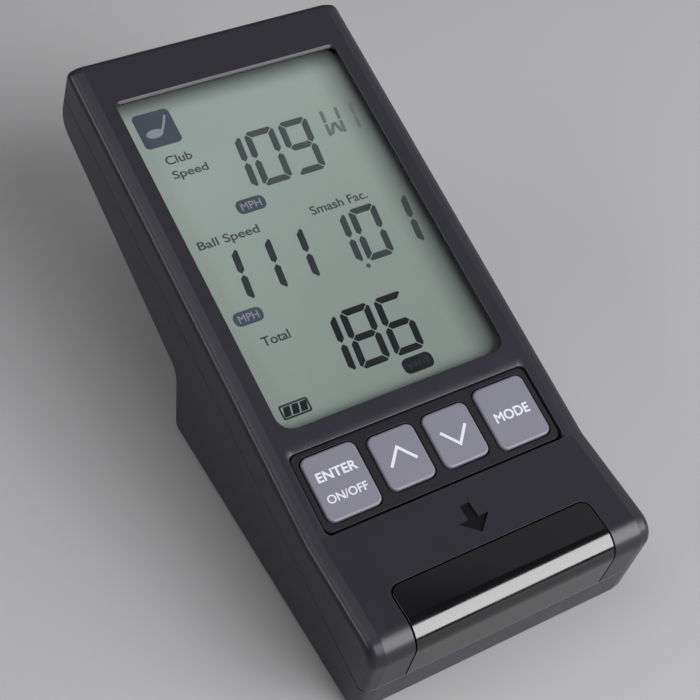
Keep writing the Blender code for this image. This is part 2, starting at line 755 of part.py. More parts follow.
def build_bezel(case, flange_top, flange_bottom):
    """The recessed panel round the keys, held from inside by its flange."""
    panel = rounded_rectangle(POCKET_WIDTH, *POCKET_Y, (POCKET_RADIUS,) * 4, -GAP)
    side, below, above = BEZEL_REACH
    flange = rounded_rectangle(POCKET_WIDTH + 2 * side, POCKET_Y[0] - below, POCKET_Y[1] + above, (side,) * 4)
    levels = [(flange, flange_bottom), (flange, flange_top)]
    levels += [(panel, flange_top + LEDGE), (panel, -POCKET_DEPTH)]
    bezel = plate("keypad_bezel", levels, case, "housing")
    for name, x, width, height in KEYS:
        hole = key_outline(width, height, GAP)
        levels = [(hole, flange_bottom - OVERCUT), (hole, OVERCUT)]
        cut(bezel, plate(f"{name}_bezel_hole", levels, case, None, (x, KEY_Y, 0.0)))


# ---------------------------------------------------------------- electronics

def build_main_board(case):
    """The board across the slab with its main components on the underside."""
    half = BOARD_WIDTH / 2
    under = BOARD_TOP - BOARD_THICKNESS
    board = box("main_board", (-half, BOARD_Y[0], under), (half, BOARD_Y[1], BOARD_TOP), case, "board")
    for name, screw in BOARD_SCREWS.items():
        cut(board, *pair(f"{name}_hole", screw["place"], BOARD_HOLE_RADIUS, -FAR, 0.0, case))
    top = under - GAP
    for name, x, y, width, height, depth, material in COMPONENTS:
        low = (x - width / 2, y - height / 2, top - depth)
        box(name, low, (x + width / 2, y + height / 2, top), case, material)
    can = [(top - CAPACITOR_DEPTH, CAPACITOR_RADIUS), (top, CAPACITOR_RADIUS)]
    turned("capacitor", CAPACITOR_AT, can, case, "steel")


def build_radar(case, front):
    """Antenna board behind the window, its carrier, screening can and flat cable."""
    half = ANTENNA_HALF_WIDTH
    low, high = ANTENNA_Z
    near, far = CARRIER_Y
    carrier = box("radar_carrier", (-half, near, low), (half, far, high), front, "frame_plastic")
    inner = half - CARRIER_MARGIN
    opening_low = (-inner, near - OVERCUT, low + CARRIER_MARGIN)
    opening_high = (inner, far + OVERCUT, high - CARRIER_MARGIN)
    cut(carrier, box("carrier_opening", opening_low, opening_high, front))
    board_y = far + GAP
    board_back = board_y + RADAR_BOARD_THICKNESS
    box("radar_board", (-half, board_y, low), (half, board_back, high), front, "board")
    shield_y = board_back + GAP
    shield_low = (-SHIELD_HALF_WIDTH, shield_y, SHIELD_Z[0])
    shield_high = (SHIELD_HALF_WIDTH, shield_y + SHIELD_DEPTH, SHIELD_Z[1])
    box("radar_shield", shield_low, shield_high, front, "steel")
    build_ribbon("radar_flex", [Vector(point) for point in FLEX_PATH], FLEX_WIDTH, FLEX_THICKNESS, case)


def build_ribbon(name, path, width, thickness, frame):
    """A flat cable along a path of the side view."""
    loops = []
    for index, point in enumerate(path):
        before = path[max(index - 1, 0)]
        after = path[min(index + 1, len(path) - 1)]
        offset = perpendicular((after - before).normalized()) * thickness / 2
        low = point - offset
        high = point + offset
        loops.append([(-width / 2, *low), (width / 2, *low), (width / 2, *high), (-width / 2, *high)])
    loft(name, loops, frame, "flex")


# ---------------------------------------------------------------- batteries

def build_cell(index, foot):
    """One round cell across the bay; neighbours point opposite ways."""
    heading = 1 if index % 2 == 0 else -1
    tip = BAY_HALF_WIDTH - CELL_CLEARANCE
    flat = tip - CELL_LENGTH
    shoulder = tip - NIPPLE_HEIGHT
    profile = [
        (flat, CELL_RADIUS - CELL_EDGE),
        (flat + CELL_EDGE, CELL_RADIUS),
        (shoulder - CELL_SHOULDER, CELL_RADIUS),
        (shoulder, CELL_RADIUS - CELL_SHOULDER),
        (shoulder + LEDGE, NIPPLE_RADIUS),
        (tip, NIPPLE_RADIUS),
    ]
    facing = [(heading * position, radius) for position, radius in profile]
    turned(f"battery_{index + 1}", (cell_y(index), CELL_HEIGHT), facing, foot, "cell_wrap", "x")
    build_spring(index, heading, flat, foot)


def build_spring(index, heading, flat, foot):
    """The cone spring that presses on a cell's flat end."""
    start = SPRING_WIRE + GAP + CONTACT_THICKNESS + GAP - BAY_HALF_WIDTH
    stop = flat - GAP - SPRING_WIRE
    wide, narrow = SPRING_RADII
    points = []
    for step in range(SPRING_STEPS + 1):
        share = step / SPRING_STEPS
        angle = math.tau * SPRING_TURNS * share
        radius = wide + (narrow - wide) * share
        x = heading * (start + (stop - start) * share)
        y = cell_y(index) + radius * math.cos(angle)
        points.append((x, y, CELL_HEIGHT + radius * math.sin(angle)))
    wire(f"battery_spring_{index + 1}", points, SPRING_WIRE, foot, "steel")


def build_contacts(foot):
    """Sheet metal contacts: two end plates with tabs and three bridges between neighbours."""
    outer = BAY_HALF_WIDTH - GAP
    inner = outer - CONTACT_THICKNESS
    low_z, high_z = CONTACT_Z
    for name, index in (("contact_negative", 0), ("contact_positive", CELL_COUNT - 1)):
        y = cell_y(index)
        low = (-outer, y - CONTACT_HALF_WIDTH, low_z)
        contact = box(name, low, (-inner, y + CONTACT_HALF_WIDTH, high_z), foot, "steel")
        tab_root = -inner - CONTACT_THICKNESS / 4
        low = (-TAB_END, y - TAB_HALF_WIDTH, TAB_Z[0])
        add(contact, box(f"{name}_tab", low, (tab_root, y + TAB_HALF_WIDTH, TAB_Z[1]), foot))
    for number in range(1, CELL_COUNT):
        side = 1 if number % 2 else -1
        middle = (cell_y(number - 1) + cell_y(number)) / 2
        reach = CELL_PITCH / 2 + CONTACT_HALF_WIDTH
        ends = sorted((side * inner, side * outer))
        low = (ends[0], middle - reach, low_z)
        box(f"contact_bridge_{number}", low, (ends[1], middle + reach, high_z), foot, "steel")


def build_leads(foot):
    """Two insulated wires from the end contacts up the side to the board."""
    for name, index, top, material in LEADS:
        y = cell_y(index)
        points = [(x, y, top + drop) for x, drop in LEAD_BEND]
        wire(name, [(LEAD_BEND[0][0], y, LEAD_START_Z), *points], LEAD_RADIUS, foot, material)


# ---------------------------------------------------------------- screws

def build_screw(name, centre, tip, seat, sizes, frame):
    """A pan head screw driven from below: shaft from its tip down to its seat, then the head."""
    shaft, head, height = sizes
    profile = [
        (tip, shaft * SCREW_POINT_SHARE),
        (tip - SCREW_POINT, shaft),
        (seat + LEDGE, shaft),
        (seat, head),
        (seat - height * HEAD_SIDE_SHARE, head),
        (seat - height, head * HEAD_TOP_SHARE),
    ]
    turned(name, centre, profile, frame, "steel", sides=SCREW_SIDES)


def build_screws(case):
    """Four case screws and four board screws."""
    number = 0
    for screw in CASE_SCREWS.values():
        x, y = screw["place"]
        for side in (-1, 1):
            number += 1
            name = f"case_screw_{number}"
            build_screw(name, (side * x, y), screw["tip"], screw["seat"] - GAP, CASE_SCREW, case)
    under = BOARD_TOP - BOARD_THICKNESS - GAP
    number = 0
    for screw in BOARD_SCREWS.values():
        x, y = screw["place"]
        for side in (-1, 1):
            number += 1
            build_screw(f"board_screw_{number}", (side * x, y), screw["tip"], under, BOARD_SCREW, case)


# ---------------------------------------------------------------- whole object

def clear_scene():
    """Remove everything that the scene starts with."""
    for item in list(bpy.data.objects):
        bpy.data.objects.remove(item)


def main():
    """Build every piece."""
    clear_scene()
    case, foot, front = make_frames()
    build_front_housing(case)
    build_rear_housing(case, foot)
    build_radar_window(case)
    build_battery_cover(case, foot)
    build_display(case)
    build_keys(case)
    build_main_board(case)
    build_radar(case, front)
    for index in range(CELL_COUNT):
        build_cell(index, foot)
    build_contacts(foot)
    build_leads(foot)
    build_screws(case)
    bpy.context.view_layer.update()


main()
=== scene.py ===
"""Looks of the pocket golf launch monitor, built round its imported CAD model.

Shapes are given in millimetres in the case frame: x runs across the width, y up the display face and
z out of it, with zero at mid width on the fold between the display face and the lower deck. The foot's
pieces are given in the foot frame, whose z = 0 is the underside.
"""
import json

import math

import bmesh
import bpy
from mathutils import Matrix, Vector


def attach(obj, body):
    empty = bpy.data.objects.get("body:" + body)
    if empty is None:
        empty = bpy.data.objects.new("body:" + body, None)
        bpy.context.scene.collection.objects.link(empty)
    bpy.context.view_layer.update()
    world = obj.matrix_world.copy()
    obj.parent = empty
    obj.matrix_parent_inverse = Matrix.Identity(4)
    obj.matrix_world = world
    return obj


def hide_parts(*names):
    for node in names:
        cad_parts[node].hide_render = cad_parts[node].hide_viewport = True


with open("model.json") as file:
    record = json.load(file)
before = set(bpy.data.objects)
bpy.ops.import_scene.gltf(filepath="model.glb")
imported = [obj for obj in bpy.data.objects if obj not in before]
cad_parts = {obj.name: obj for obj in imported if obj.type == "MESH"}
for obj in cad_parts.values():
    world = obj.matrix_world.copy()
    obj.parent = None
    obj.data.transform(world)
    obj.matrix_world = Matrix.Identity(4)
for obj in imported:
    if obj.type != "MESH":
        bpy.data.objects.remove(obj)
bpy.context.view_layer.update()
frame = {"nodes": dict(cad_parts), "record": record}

MM = 0.001
FAR = 100.0
GAP = 0.3
OVERCUT = 1.0             # how far a cutter runs past what it cuts
LEDGE = 0.01              # height of a step that has to be drawn as two levels
WELD = 0.001
SIDES = ((-1, "left"), (1, "right"))

# Case outline, seen from the side
CASE_WIDTH = 65.0
FACE_TILT = 16.0
DECK_BEND = 12.5
DECK_LENGTH = 25.8
FOLD_Y = -0.6
FACE_END = 113.2
FRONT_LEAN = 10.0
BACK_TAPER = 4.9
HEEL = (45.0, -40.6)
FOOT_TOP = (50.5, -24.3)
CORNER_RADII = (5.0, 1.5, 2.6, 6.0, 3.0, 3.0, 2.6)
CORNER_STEPS = 12
RIM_RADIUS = 1.8
RIM_SLOPE = 10.0
RIM_BAND = 1.7
RIM_STEPS = 8
CREASE = 0.12             # support loop beside a crease, so that shading stays crisp
WALL = 2.0
PARTING_Z = -9.0
EDGE = 0.12               # softened edge of a moulded opening
FLAT_ANGLE = 50.0         # a steeper bend than this is shaded as an edge
ROUND_ANGLE = 30.0        # the same for turned pieces
BEVEL_ANGLE = 30.0        # a steeper bend than this is bevelled

# Display
WINDOW_WIDTH = 52.6
WINDOW_Y = (21.8, 101.7)
WINDOW_RADII = (3.5, 3.5, 1.3, 1.3)
WINDOW_LIP = 0.9
WINDOW_TOP_CHAMFER = 0.55
GLASS_WIDTH = 55.2
GLASS_TOP = 102.9
GLASS_LEDGE = 18.9
GLASS_FACE = -2.1
GLASS_THICKNESS = 1.0
GLASS_RADIUS = 0.3
SEAT_WIDTH = 57.0
SEAT_RADIUS = 1.8
INK_HEIGHT = 0.03
DIGIT_WIDTH = 7.0
DIGIT_HEIGHT = 13.45
SMALL_WIDTH = 6.6
SMALL_HEIGHT = 12.65
STROKE = 1.5
SLANT = 0.1
SEGMENT_GAP = 0.16
SEGMENT_TIP = 0.45        # how far a mitred corner reaches, over half a stroke
SEGMENTS_OF = {"0": "abcdef", "1": "bc", "6": "acdefg", "8": "abcdefg", "9": "abcdfg"}
# Each row has its own ink tone, darker towards the bottom of the display: painted shading for how the
# segments' contrast changes with the viewing angle
ROWS = (
    ("speed_digits", "109", (-12.1, -4.1, 4.05), 74.05, DIGIT_WIDTH, DIGIT_HEIGHT, "ink_soft"),
    ("ball_digits", "111", (-24.1, -16.5, -9.0), 50.4, SMALL_WIDTH, SMALL_HEIGHT, "ink_mid"),
    ("factor_digits", "101", (1.35, 8.85, 16.5), 50.4, SMALL_WIDTH, SMALL_HEIGHT, "ink_firm"),
    ("distance_digits", "186", (-12.2, -4.2, 3.95), 28.75, DIGIT_WIDTH, DIGIT_HEIGHT, "ink_dark"),
)
CLUB_MARKS_AT = (15.3, 81.0)
CLUB_STROKE = 0.8
CLUB_MARKS = (
    ((0.3, 0.0), (0.3, 3.0)), ((0.3, 3.4), (0.3, 6.4)),
    ((3.9, 0.0), (3.9, 3.0)), ((3.9, 3.4), (3.9, 6.4)),
    ((0.9, 0.3), (1.95, 2.9)), ((3.3, 0.3), (2.25, 2.9)),
    ((7.7, 0.0), (7.7, 3.0)), ((7.7, 3.4), (7.7, 6.4)),
)
WORD_WEIGHT = 0.014       # how much a letter's strokes are thickened, over its size
PILL_WEIGHT = 0.006
PILL_RADIUS = 1.35
PILL_MARGIN = (1.05, 0.75)
GAUGE_BAR_X = (-22.6, -20.75, -18.9)
GAUGE_BAR_Y = (25.15, 27.25)
GAUGE_BAR_REACH = (0.98, 0.5)   # a bar's leaning corners and its other ones, from its middle

# Keys
POCKET_WIDTH = 55.4
POCKET_Y = (-0.3, 17.2)
POCKET_DEPTH = 0.75
POCKET_STEP = 0.25
POCKET_SLOPE = (0.7, 1.6)
POCKET_RADIUS = 1.6
POCKET_OVERLAP = 0.1
FLANGE_GROW = (1.5, 0.9, 1.0)   # past the pocket at its sides, bottom and top
FLANGE_RADIUS = 1.5
FLANGE_THICKNESS = 1.0
SEAM = 0.6                # the dark joint under the keys
SEAM_TOP = 0.15
KEY_Y = 8.8
KEY_TOP = -0.25
KEY_RADIUS = 1.7
KEY_ROUND = 0.45
KEY_STEPS = 6
KEY_BOTTOM = -4.3
KEY_FLANGE_TOP = -3.6
KEY_FLANGE = 0.6
KEYS = (
    ("enter", -19.9, 12.1, 13.9),
    ("up", -6.3, 10.5, 12.0),
    ("down", 6.3, 10.5, 12.0),
    ("mode", 19.9, 12.1, 13.9),
)
LEGEND_HEIGHT = 0.02
CHEVRON = (2.95, 1.75)    # half its width and half its height
CHEVRON_STROKE = 0.62

# Radar window
RADAR_HALF_WIDTH = 22.9
RADAR_TOP_Y = -14.0
RADAR_CORNER = 2.2

# Recessed arrows, each from its tail to its tip
DECK_ARROW = (-4.4, -11.2)
COVER_ARROW = (22.0, 31.0)
ARROW_SHARES = (0.17, 0.52)   # half widths of shaft and head over the arrow's length
MARK_DEPTH = 0.45

# Case screws: where each pair is, then its heights, its socket (radius, low, high) and its counterbore
CASE_SCREWS = {
    "top": {"at": (24.0, 107.0), "tip": -7.0, "seat": -16.9, "socket": (3.1, -18.6, -14.3), "bore": -25.0},
    "front": {"at": (26.8, -18.0), "tip": -3.5, "seat": -17.8, "socket": (3.4, -21.5, -9.8), "bore": -30.0},
}
BORE_RADIUS = 2.3
SCREW_SHAFT = 0.8
SCREW_POINT = 0.5         # the point's length and its radius
SCREW_HEAD = ((0.0, 1.9), (0.12, 2.0), (0.8, 2.0), (1.2, 1.8), (1.4, 1.4), (1.5, 0.7))   # (depth, radius)
CROSS_ARM = (1.15, 0.26)
CROSS_DEPTHS = (3.0, 0.6)  # the cross recess, from below the head up to its floor

# Battery bay, in the foot frame
CELL_RADIUS = 5.2
CELL_PITCH = 10.9
CELL_LENGTH = 44.5
CELL_FIRST_Y = 11.8
CELL_HEIGHT = 7.85
CELL_COUNT = 4
CELL_TIP_GAP = 1.0
CELL_SEAM = CELL_LENGTH - 13.0
# Each part of a cell: its profile as (distance from the cell's flat end, radius)
CELL_PARTS = (
    ("wrap", "cell_wrap", ((0.15, 4.75), (0.15, 5.1), (0.35, CELL_RADIUS), (CELL_SEAM, CELL_RADIUS),
                           (CELL_SEAM, 4.75))),
    ("band", "cell_band", ((CELL_SEAM, 4.75), (CELL_SEAM, CELL_RADIUS), (CELL_LENGTH - 1.7, CELL_RADIUS),
                           (CELL_LENGTH - 1.4, 5.05), (CELL_LENGTH - 1.4, 4.6))),
    ("can", "cell_end", ((0.0, 3.8), (0.0, 4.6), (0.2, 4.8), (CELL_LENGTH - 1.5, 4.8),
                         (CELL_LENGTH - 1.15, 4.5), (CELL_LENGTH - 1.0, 2.3), (CELL_LENGTH - 0.9, 1.95),
                         (CELL_LENGTH - 0.15, 1.9), (CELL_LENGTH, 1.7))),
)
SPRING_START = 1.25       # from the bay's end wall
SPRING_GAP = 0.55         # from the cell's flat end
SPRING_RADII = (3.4, 2.0)
SPRING_TURNS = 2.5
SPRING_STEPS = 90
SPRING_WIRE = 0.25
BAY_HALF_WIDTH = 25.4
BAY_Y = (6.0, 50.4)
BAY_CEILING = 13.6
TRAY_HALF_WIDTH = 28.5
TRAY_WALL = 1.2
COVER_HALF_WIDTH = 26.0
COVER_START_Y = 4.8
COVER_RECESS = 0.4
COVER_UPSTAND = 8.0
TONGUE_WIDTH = 1.0
TONGUE_ROOT = 1.0
TONGUE_Y = (COVER_START_Y + 1.2, 48.0)
TONGUE_Z = (1.2, 1.9)
SLOT_SETBACK = 0.5
SLOT_Z = (0.9, WALL + 0.2)
GRIP_WALL = 1.7
TRAY_FRONT = COVER_START_Y - TRAY_WALL
TRAY_TOP = BAY_CEILING + TRAY_WALL
TRAY_OUTLINE = ((TRAY_FRONT, 1.0), (52.0, 1.0), (54.0, 5.0), (54.2, TRAY_TOP), (TRAY_FRONT, TRAY_TOP))
RIB_COUNT = 6
RIB_FIRST_Y = 34.0
RIB_PITCH = 1.9
RIB_REACH = 9.0
RIB_HALF = 0.45
RIB_RADIUS = 0.4
RIB_DEPTH = 0.35

# Studio, in metres
FLOOR_TONES = ((0.225, 0.225, 0.23), (0.24, 0.24, 0.245))
FLOOR_REACH = 2000.0      # in millimetres, like the floor's thickness
FLOOR_THICKNESS = 10.0
LIGHT_TARGET = Vector((0.0, -0.02, 0.03))
LIGHTS = (
    # name, place, size, power in watts
    ("front_box", (0.42, -0.72, 0.56), (0.95, 0.84), 28.0),
    ("top_box", (-0.28, 0.10, 0.90), (0.55, 0.60), 2.4),
    ("back_box", (0.44, 0.52, 0.80), (1.10, 0.60), 0.7),
    ("left_strip", (-0.80, 0.24, 0.50), (0.9, 0.30), 4.6),
    ("right_strip", (0.90, 0.22, 0.42), (0.70, 0.45), 1.1),
)
CAMERA_AT = (-126.9, -56.4, 259.4)      # in millimetres, in the case frame
CAMERA_RIGHT = (0.8581, -0.4504, 0.2466)
CAMERA_UP = (0.3160, 0.8417, 0.4378)
CAMERA_BACK = (-0.4048, -0.2977, 0.8646)


# ---------------- outlines

def perpendicular(direction):
    """A plane direction turned a quarter turn to the left."""
    return Vector((-direction.y, direction.x))


def inset_corners(corners, inset):
    """The corners of a counter-clockwise outline moved inward by an equal distance from each side."""
    moved = []
    for index, corner in enumerate(corners):
        before = (corner - corners[index - 1]).normalized()
        after = (corners[(index + 1) % len(corners)] - corner).normalized()
        left = perpendicular(before)
        right = perpendicular(after)
        moved.append(corner + inset * (left + right) / (1.0 + left.dot(right)))
    return moved


def fillet(corner, before, after, radius, steps):
    """Points of the arc that rounds one corner between its neighbours."""
    incoming = (corner - before).normalized()
    outgoing = (after - corner).normalized()
    turn = math.atan2(incoming.cross(outgoing), incoming.dot(outgoing))
    start = corner - incoming * radius * math.tan(abs(turn) / 2)
    centre = start + perpendicular(incoming) * math.copysign(radius, turn)
    arm = start - centre
    return [centre + Matrix.Rotation(turn * step / steps, 2) @ arm for step in range(steps + 1)]


def round_outline(corners, radii, steps=CORNER_STEPS):
    """The outline with every corner replaced by an arc."""
    points = []
    for index, corner in enumerate(corners):
        after = corners[(index + 1) % len(corners)]
        points += fillet(corner, corners[index - 1], after, radii[index], steps)
    return points


def rounded_rectangle(left, right, low, high, radii, grow=0.0, steps=CORNER_STEPS):
    """A rectangle with round corners, its radii given from the lower left corner round."""
    corners = [
        Vector((left - grow, low - grow)),
        Vector((right + grow, low - grow)),
        Vector((right + grow, high + grow)),
        Vector((left - grow, high + grow)),
    ]
    return round_outline(corners, [max(radius + grow, EDGE) for radius in radii], steps)


def centred_rectangle(width, low, high, radii, grow=0.0):
    """A round-cornered rectangle about mid width."""
    return rounded_rectangle(-width / 2, width / 2, low, high, radii, grow)


def ground_height(y, z):
    """Height above the ground of a point of the case's side view."""
    tilt = math.radians(FACE_TILT)
    lift = -(HEEL[0] * math.sin(tilt) + HEEL[1] * math.cos(tilt))
    return y * math.sin(tilt) + z * math.cos(tilt) + lift


def ground_reach(y, z):
    """Distance along the ground of a point of the case's side view, from the case frame's origin."""
    tilt = math.radians(FACE_TILT)
    return y * math.cos(tilt) - z * math.sin(tilt)


def front_top_corner():
    """The sharp corner where the deck and the front wall would meet."""
    bend = math.radians(DECK_BEND)
    return Vector((FOLD_Y - DECK_LENGTH * math.cos(bend), DECK_LENGTH * math.sin(bend)))


def case_corners():
    """Sharp corners of the side view, counter-clockwise, from the front bottom corner."""
    lean = math.radians(FRONT_LEAN)
    wall_down = Vector((-math.sin(lean), -math.cos(lean)))
    front_top = front_top_corner()
    fall = ground_height(*front_top) - ground_height(*(front_top + wall_down))
    front_bottom = front_top + wall_down * ground_height(*front_top) / fall
    back_rise = (FACE_END - FOOT_TOP[0]) * math.tan(math.radians(BACK_TAPER))
    clockwise = [
        front_top,
        Vector((FOLD_Y, 0.0)),
        Vector((FACE_END, 0.0)),
        Vector((FACE_END, FOOT_TOP[1] + back_rise)),
        Vector(FOOT_TOP),
        Vector(HEEL),
        front_bottom,
    ]
    return clockwise[::-1]


def case_outline(inset, steps=CORNER_STEPS):
    """The rounded side view moved inward by an inset."""
    corners = case_corners()
    moved = inset_corners(corners, inset)
    radii = []
    for index, radius in enumerate(CORNER_RADII[::-1]):
        incoming = corners[index] - corners[index - 1]
        outgoing = corners[(index + 1) % len(corners)] - corners[index]
        convex = incoming.cross(outgoing) > 0
        radii.append(radius - inset if convex else radius + inset)
    return round_outline(moved, radii, steps)


# ---------------- frames

def case_matrix():
    """Places the case frame in the row frame, as the CAD does."""
    reach = [ground_reach(*point) for point in case_outline(0.0)]
    middle = (min(reach) + max(reach)) / 2
    shift = Vector((0.0, -middle, ground_height(0.0, 0.0))) * MM
    return Matrix.Translation(shift) @ Matrix.Rotation(math.radians(FACE_TILT), 4, "X")


CASE = case_matrix()
FOOT = Matrix.Translation((0.0, CASE.translation.y, 0.0))
DECK = CASE @ Matrix.Translation((0.0, FOLD_Y * MM, 0.0)) @ Matrix.Rotation(math.radians(-DECK_BEND), 4, "X")


# ---------------- meshes

def new_object(name, mesh, matrix=CASE):
    """Put a mesh into the scene at a matrix."""
    item = bpy.data.objects.new(name, mesh)
    bpy.context.scene.collection.objects.link(item)
    item.matrix_world = matrix
    return item


def loft(name, loops, matrix=CASE):
    """A closed solid through loops of equal count, with a flat cap at each end."""
    shape = bmesh.new()
    rings = []
    for loop in loops:
        rings.append([shape.verts.new(Vector(point) * MM) for point in loop])
    for lower, upper in zip(rings, rings[1:]):
        for index in range(len(lower)):
            after = (index + 1) % len(lower)
            shape.faces.new((lower[index], lower[after], upper[after], upper[index]))
    shape.faces.new(rings[0])
    shape.faces.new(rings[-1])
    bmesh.ops.recalc_face_normals(shape, faces=shape.faces)
    mesh = bpy.data.meshes.new(name)
    shape.to_mesh(mesh)
    shape.free()
    return new_object(name, mesh, matrix)


def plate(name, levels, matrix=CASE, centre=(0.0, 0.0)):
    """A solid from flat outlines, each (outline, height), stacked along z."""
    loops = []
    for outline, height in levels:
        loops.append([(point[0] + centre[0], point[1] + centre[1], height) for point in outline])
    return loft(name, loops, matrix)


def slab(name, outline, low, high, matrix=CASE, centre=(0.0, 0.0)):
    """A solid on one flat outline between two heights."""
    return plate(name, [(outline, low), (outline, high)], matrix, centre)


def side_prism(name, outline, half_width, matrix=CASE):
    """A side view drawn out to both sides of mid width."""
    loops = [[(side, point[0], point[1]) for point in outline] for side in (-half_width, half_width)]
    return loft(name, loops, matrix)


def box(name, low, high, matrix=CASE):
    """A box between two opposite corners."""
    outline = [(low[0], low[1]), (high[0], low[1]), (high[0], high[1]), (low[0], high[1])]
    return slab(name, outline, low[2], high[2], matrix)


def turned(name, centre, profile, matrix=CASE, axis="z", sides=48):
    """A turned solid: profile pairs of (position, radius) along z or x through a centre."""
    loops = []
    for position, radius in profile:
        ring = []
        for step in range(sides):
            angle = math.tau * step / sides
            across = centre[0] + radius * math.cos(angle)
            up = centre[1] + radius * math.sin(angle)
            ring.append((across, up, position) if axis == "z" else (position, across, up))
        loops.append(ring)
    return loft(name, loops, matrix)


def wire(name, points, radius, matrix, sides=10):
    """A round wire along points, as a closed mesh."""
    path = [Vector(point) for point in points]
    loops = []
    side = (path[1] - path[0]).orthogonal().normalized()
    for index, point in enumerate(path):
        ahead = path[min(index + 1, len(path) - 1)] - path[max(index - 1, 0)]
        ahead.normalize()
        side = (side - ahead * side.dot(ahead)).normalized()
        other = ahead.cross(side)
        ring = []
        for step in range(sides):
            angle = math.tau * step / sides
            ring.append(point + radius * (side * math.cos(angle) + other * math.sin(angle)))
        loops.append(ring)
    return loft(name, loops, matrix)


def settle(item):
    """Replace an object's mesh by what its modifiers make of it."""
    bpy.context.view_layer.update()
    graph = bpy.context.evaluated_depsgraph_get()
    mesh = bpy.data.meshes.new_from_object(item.evaluated_get(graph))
    old = item.data
    item.modifiers.clear()
    item.data = mesh
    bpy.data.meshes.remove(old)


def combine(target, others, operation):
    """Apply exact Booleans to a solid and remove the helpers."""
    for other in others:
        modifier = target.modifiers.new(other.name, "BOOLEAN")
        modifier.operation = operation
        modifier.solver = "EXACT"
        modifier.object = other
    settle(target)
    for other in others:
        bpy.data.objects.remove(other)


def soften(item, width=EDGE):
    """Round the sharp edges of a solid by a small bevel and shade it smoothly."""
    modifier = item.modifiers.new("edge", "BEVEL")
    modifier.width = width * MM
    modifier.segments = 2
    modifier.limit_method = "ANGLE"
    modifier.angle_limit = math.radians(BEVEL_ANGLE)
    modifier.use_clamp_overlap = False
    modifier.miter_outer = "MITER_ARC"
    settle(item)
    smooth(item)


def smooth(item, angle=FLAT_ANGLE):
    """Smooth shading, worked out afresh, that keeps flat faces flat."""
    earlier = item.data.attributes.get("custom_normal")
    if earlier:
        item.data.attributes.remove(earlier)
    item.data.shade_smooth()
    item.data.set_sharp_from_angle(angle=math.radians(angle))
    modifier = item.modifiers.new("normals", "WEIGHTED_NORMAL")
    modifier.weight = 100
    modifier.keep_sharp = True
    settle(item)


def join(name, items):
    """Several solids as one object."""
    shape = bmesh.new()
    matrix = items[0].matrix_world.copy()
    for item in items:
        shape.from_mesh(item.data)
    mesh = bpy.data.meshes.new(name)
    shape.to_mesh(mesh)
    shape.free()
    for item in items:
        bpy.data.objects.remove(item)
    return new_object(name, mesh, matrix)


def finish_piece(item, material, body, stands_for=()):
    """Give a piece its material, its body and the CAD nodes that it stands for."""
    item.data.transform(item.matrix_world)
    item.matrix_world = Matrix.Identity(4)
    item.data.materials.clear()
    item.data.materials.append(MATERIALS[material])
    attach(item, body)
    if stands_for:
        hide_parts(*stands_for)


# ---------------- material nodes

class Surface:
    """A node material with its Principled shader, and short ways of adding nodes to it."""

    def __init__(self, name):
        """Start from the plain shader and the piece's own coordinates, in metres."""
        self.material = bpy.data.materials.new(name)
        self.material.use_nodes = True
        self.nodes = self.material.node_tree.nodes
        self.shader = self.nodes["Principled BSDF"]
        self.place = self.node("TexCoord").outputs["Object"]

    def node(self, kind, **settings):
        """Add a node: lower-case settings are its properties, and a dict called inputs sets its sockets."""
        made = self.nodes.new("ShaderNode" + kind)
        for name, value in settings.pop("inputs", {}).items():
            made.inputs[name].default_value = value
        for name, value in settings.items():
            setattr(made, name, value)
        return made

    def link(self, output, socket):
        """Join two sockets."""
        self.material.node_tree.links.new(output, socket)

    def noise(self, feature, detail, stretch=None):
        """Noise whose features are about this many millimetres across."""
        made = self.node("TexNoise", inputs={"Scale": 1.0 / (feature * MM), "Detail": detail})
        source = self.place
        if stretch:
            mapping = self.node("Mapping", inputs={"Scale": stretch})
            self.link(source, mapping.inputs["Vector"])
            source = mapping.outputs["Vector"]
        self.link(source, made.inputs["Vector"])
        return made.outputs["Fac"]

    def spread(self, value, low, high, from_low=0.3, from_high=0.7):
        """Map a value's range onto another one. Noise hardly leaves the range from 0.3 to 0.7."""
        made = self.node("MapRange", inputs={"From Min": from_low, "From Max": from_high,
                                             "To Min": low, "To Max": high})
        self.link(value, made.inputs["Value"])
        return made.outputs["Result"]

    def blend(self, share, first, second):
        """Mix two colours, each a tuple or a socket, by a share."""
        made = self.node("Mix", data_type="RGBA")
        self.link(share, made.inputs["Factor"])
        for name, colour in (("A", first), ("B", second)):
            socket = next(s for s in made.inputs if s.name == name and s.type == "RGBA")
            if isinstance(colour, tuple):
                socket.default_value = (*colour, 1.0)
            else:
                self.link(colour, socket)
        return next(s for s in made.outputs if s.type == "RGBA")

    def times(self, first, second):
        """The product of a socket and a number or another socket."""
        made = self.node("Math", operation="MULTIPLY")
        self.link(first, made.inputs[0])
        if isinstance(second, float):
            made.inputs[1].default_value = second
        else:
            self.link(second, made.inputs[1])
        return made.outputs[0]

    def edge_share(self, radius):
        """How close a point is to a convex edge, from 0 on the flat to 1 on the edge."""
        rounded = self.node("Bevel", samples=6, inputs={"Radius": radius * MM})
        plain = self.node("NewGeometry")
        dot = self.node("VectorMath", operation="DOT_PRODUCT")
        self.link(rounded.outputs["Normal"], dot.inputs[0])
        self.link(plain.outputs["Normal"], dot.inputs[1])
        return self.spread(dot.outputs["Value"], 1.0, 0.0, 0.86, 0.99)

    def finish(self, colour, roughness, relief, depth, constants):
        """Link the shader's colour, roughness and relief, whose depth is in millimetres, and set constants."""
        sockets = self.shader.inputs
        self.link(colour, sockets["Base Color"])
        self.link(roughness, sockets["Roughness"])
        bump = self.node("Bump", inputs={"Distance": depth * MM, "Strength": 1.0})
        self.link(relief, bump.inputs["Height"])
        self.link(bump.outputs["Normal"], sockets["Normal"])
        for name, value in constants.items():
            sockets[name].default_value = value
        return self.material


def shade(colour, factor):
    """A colour made lighter or darker."""
    return tuple(channel * factor for channel in colour)


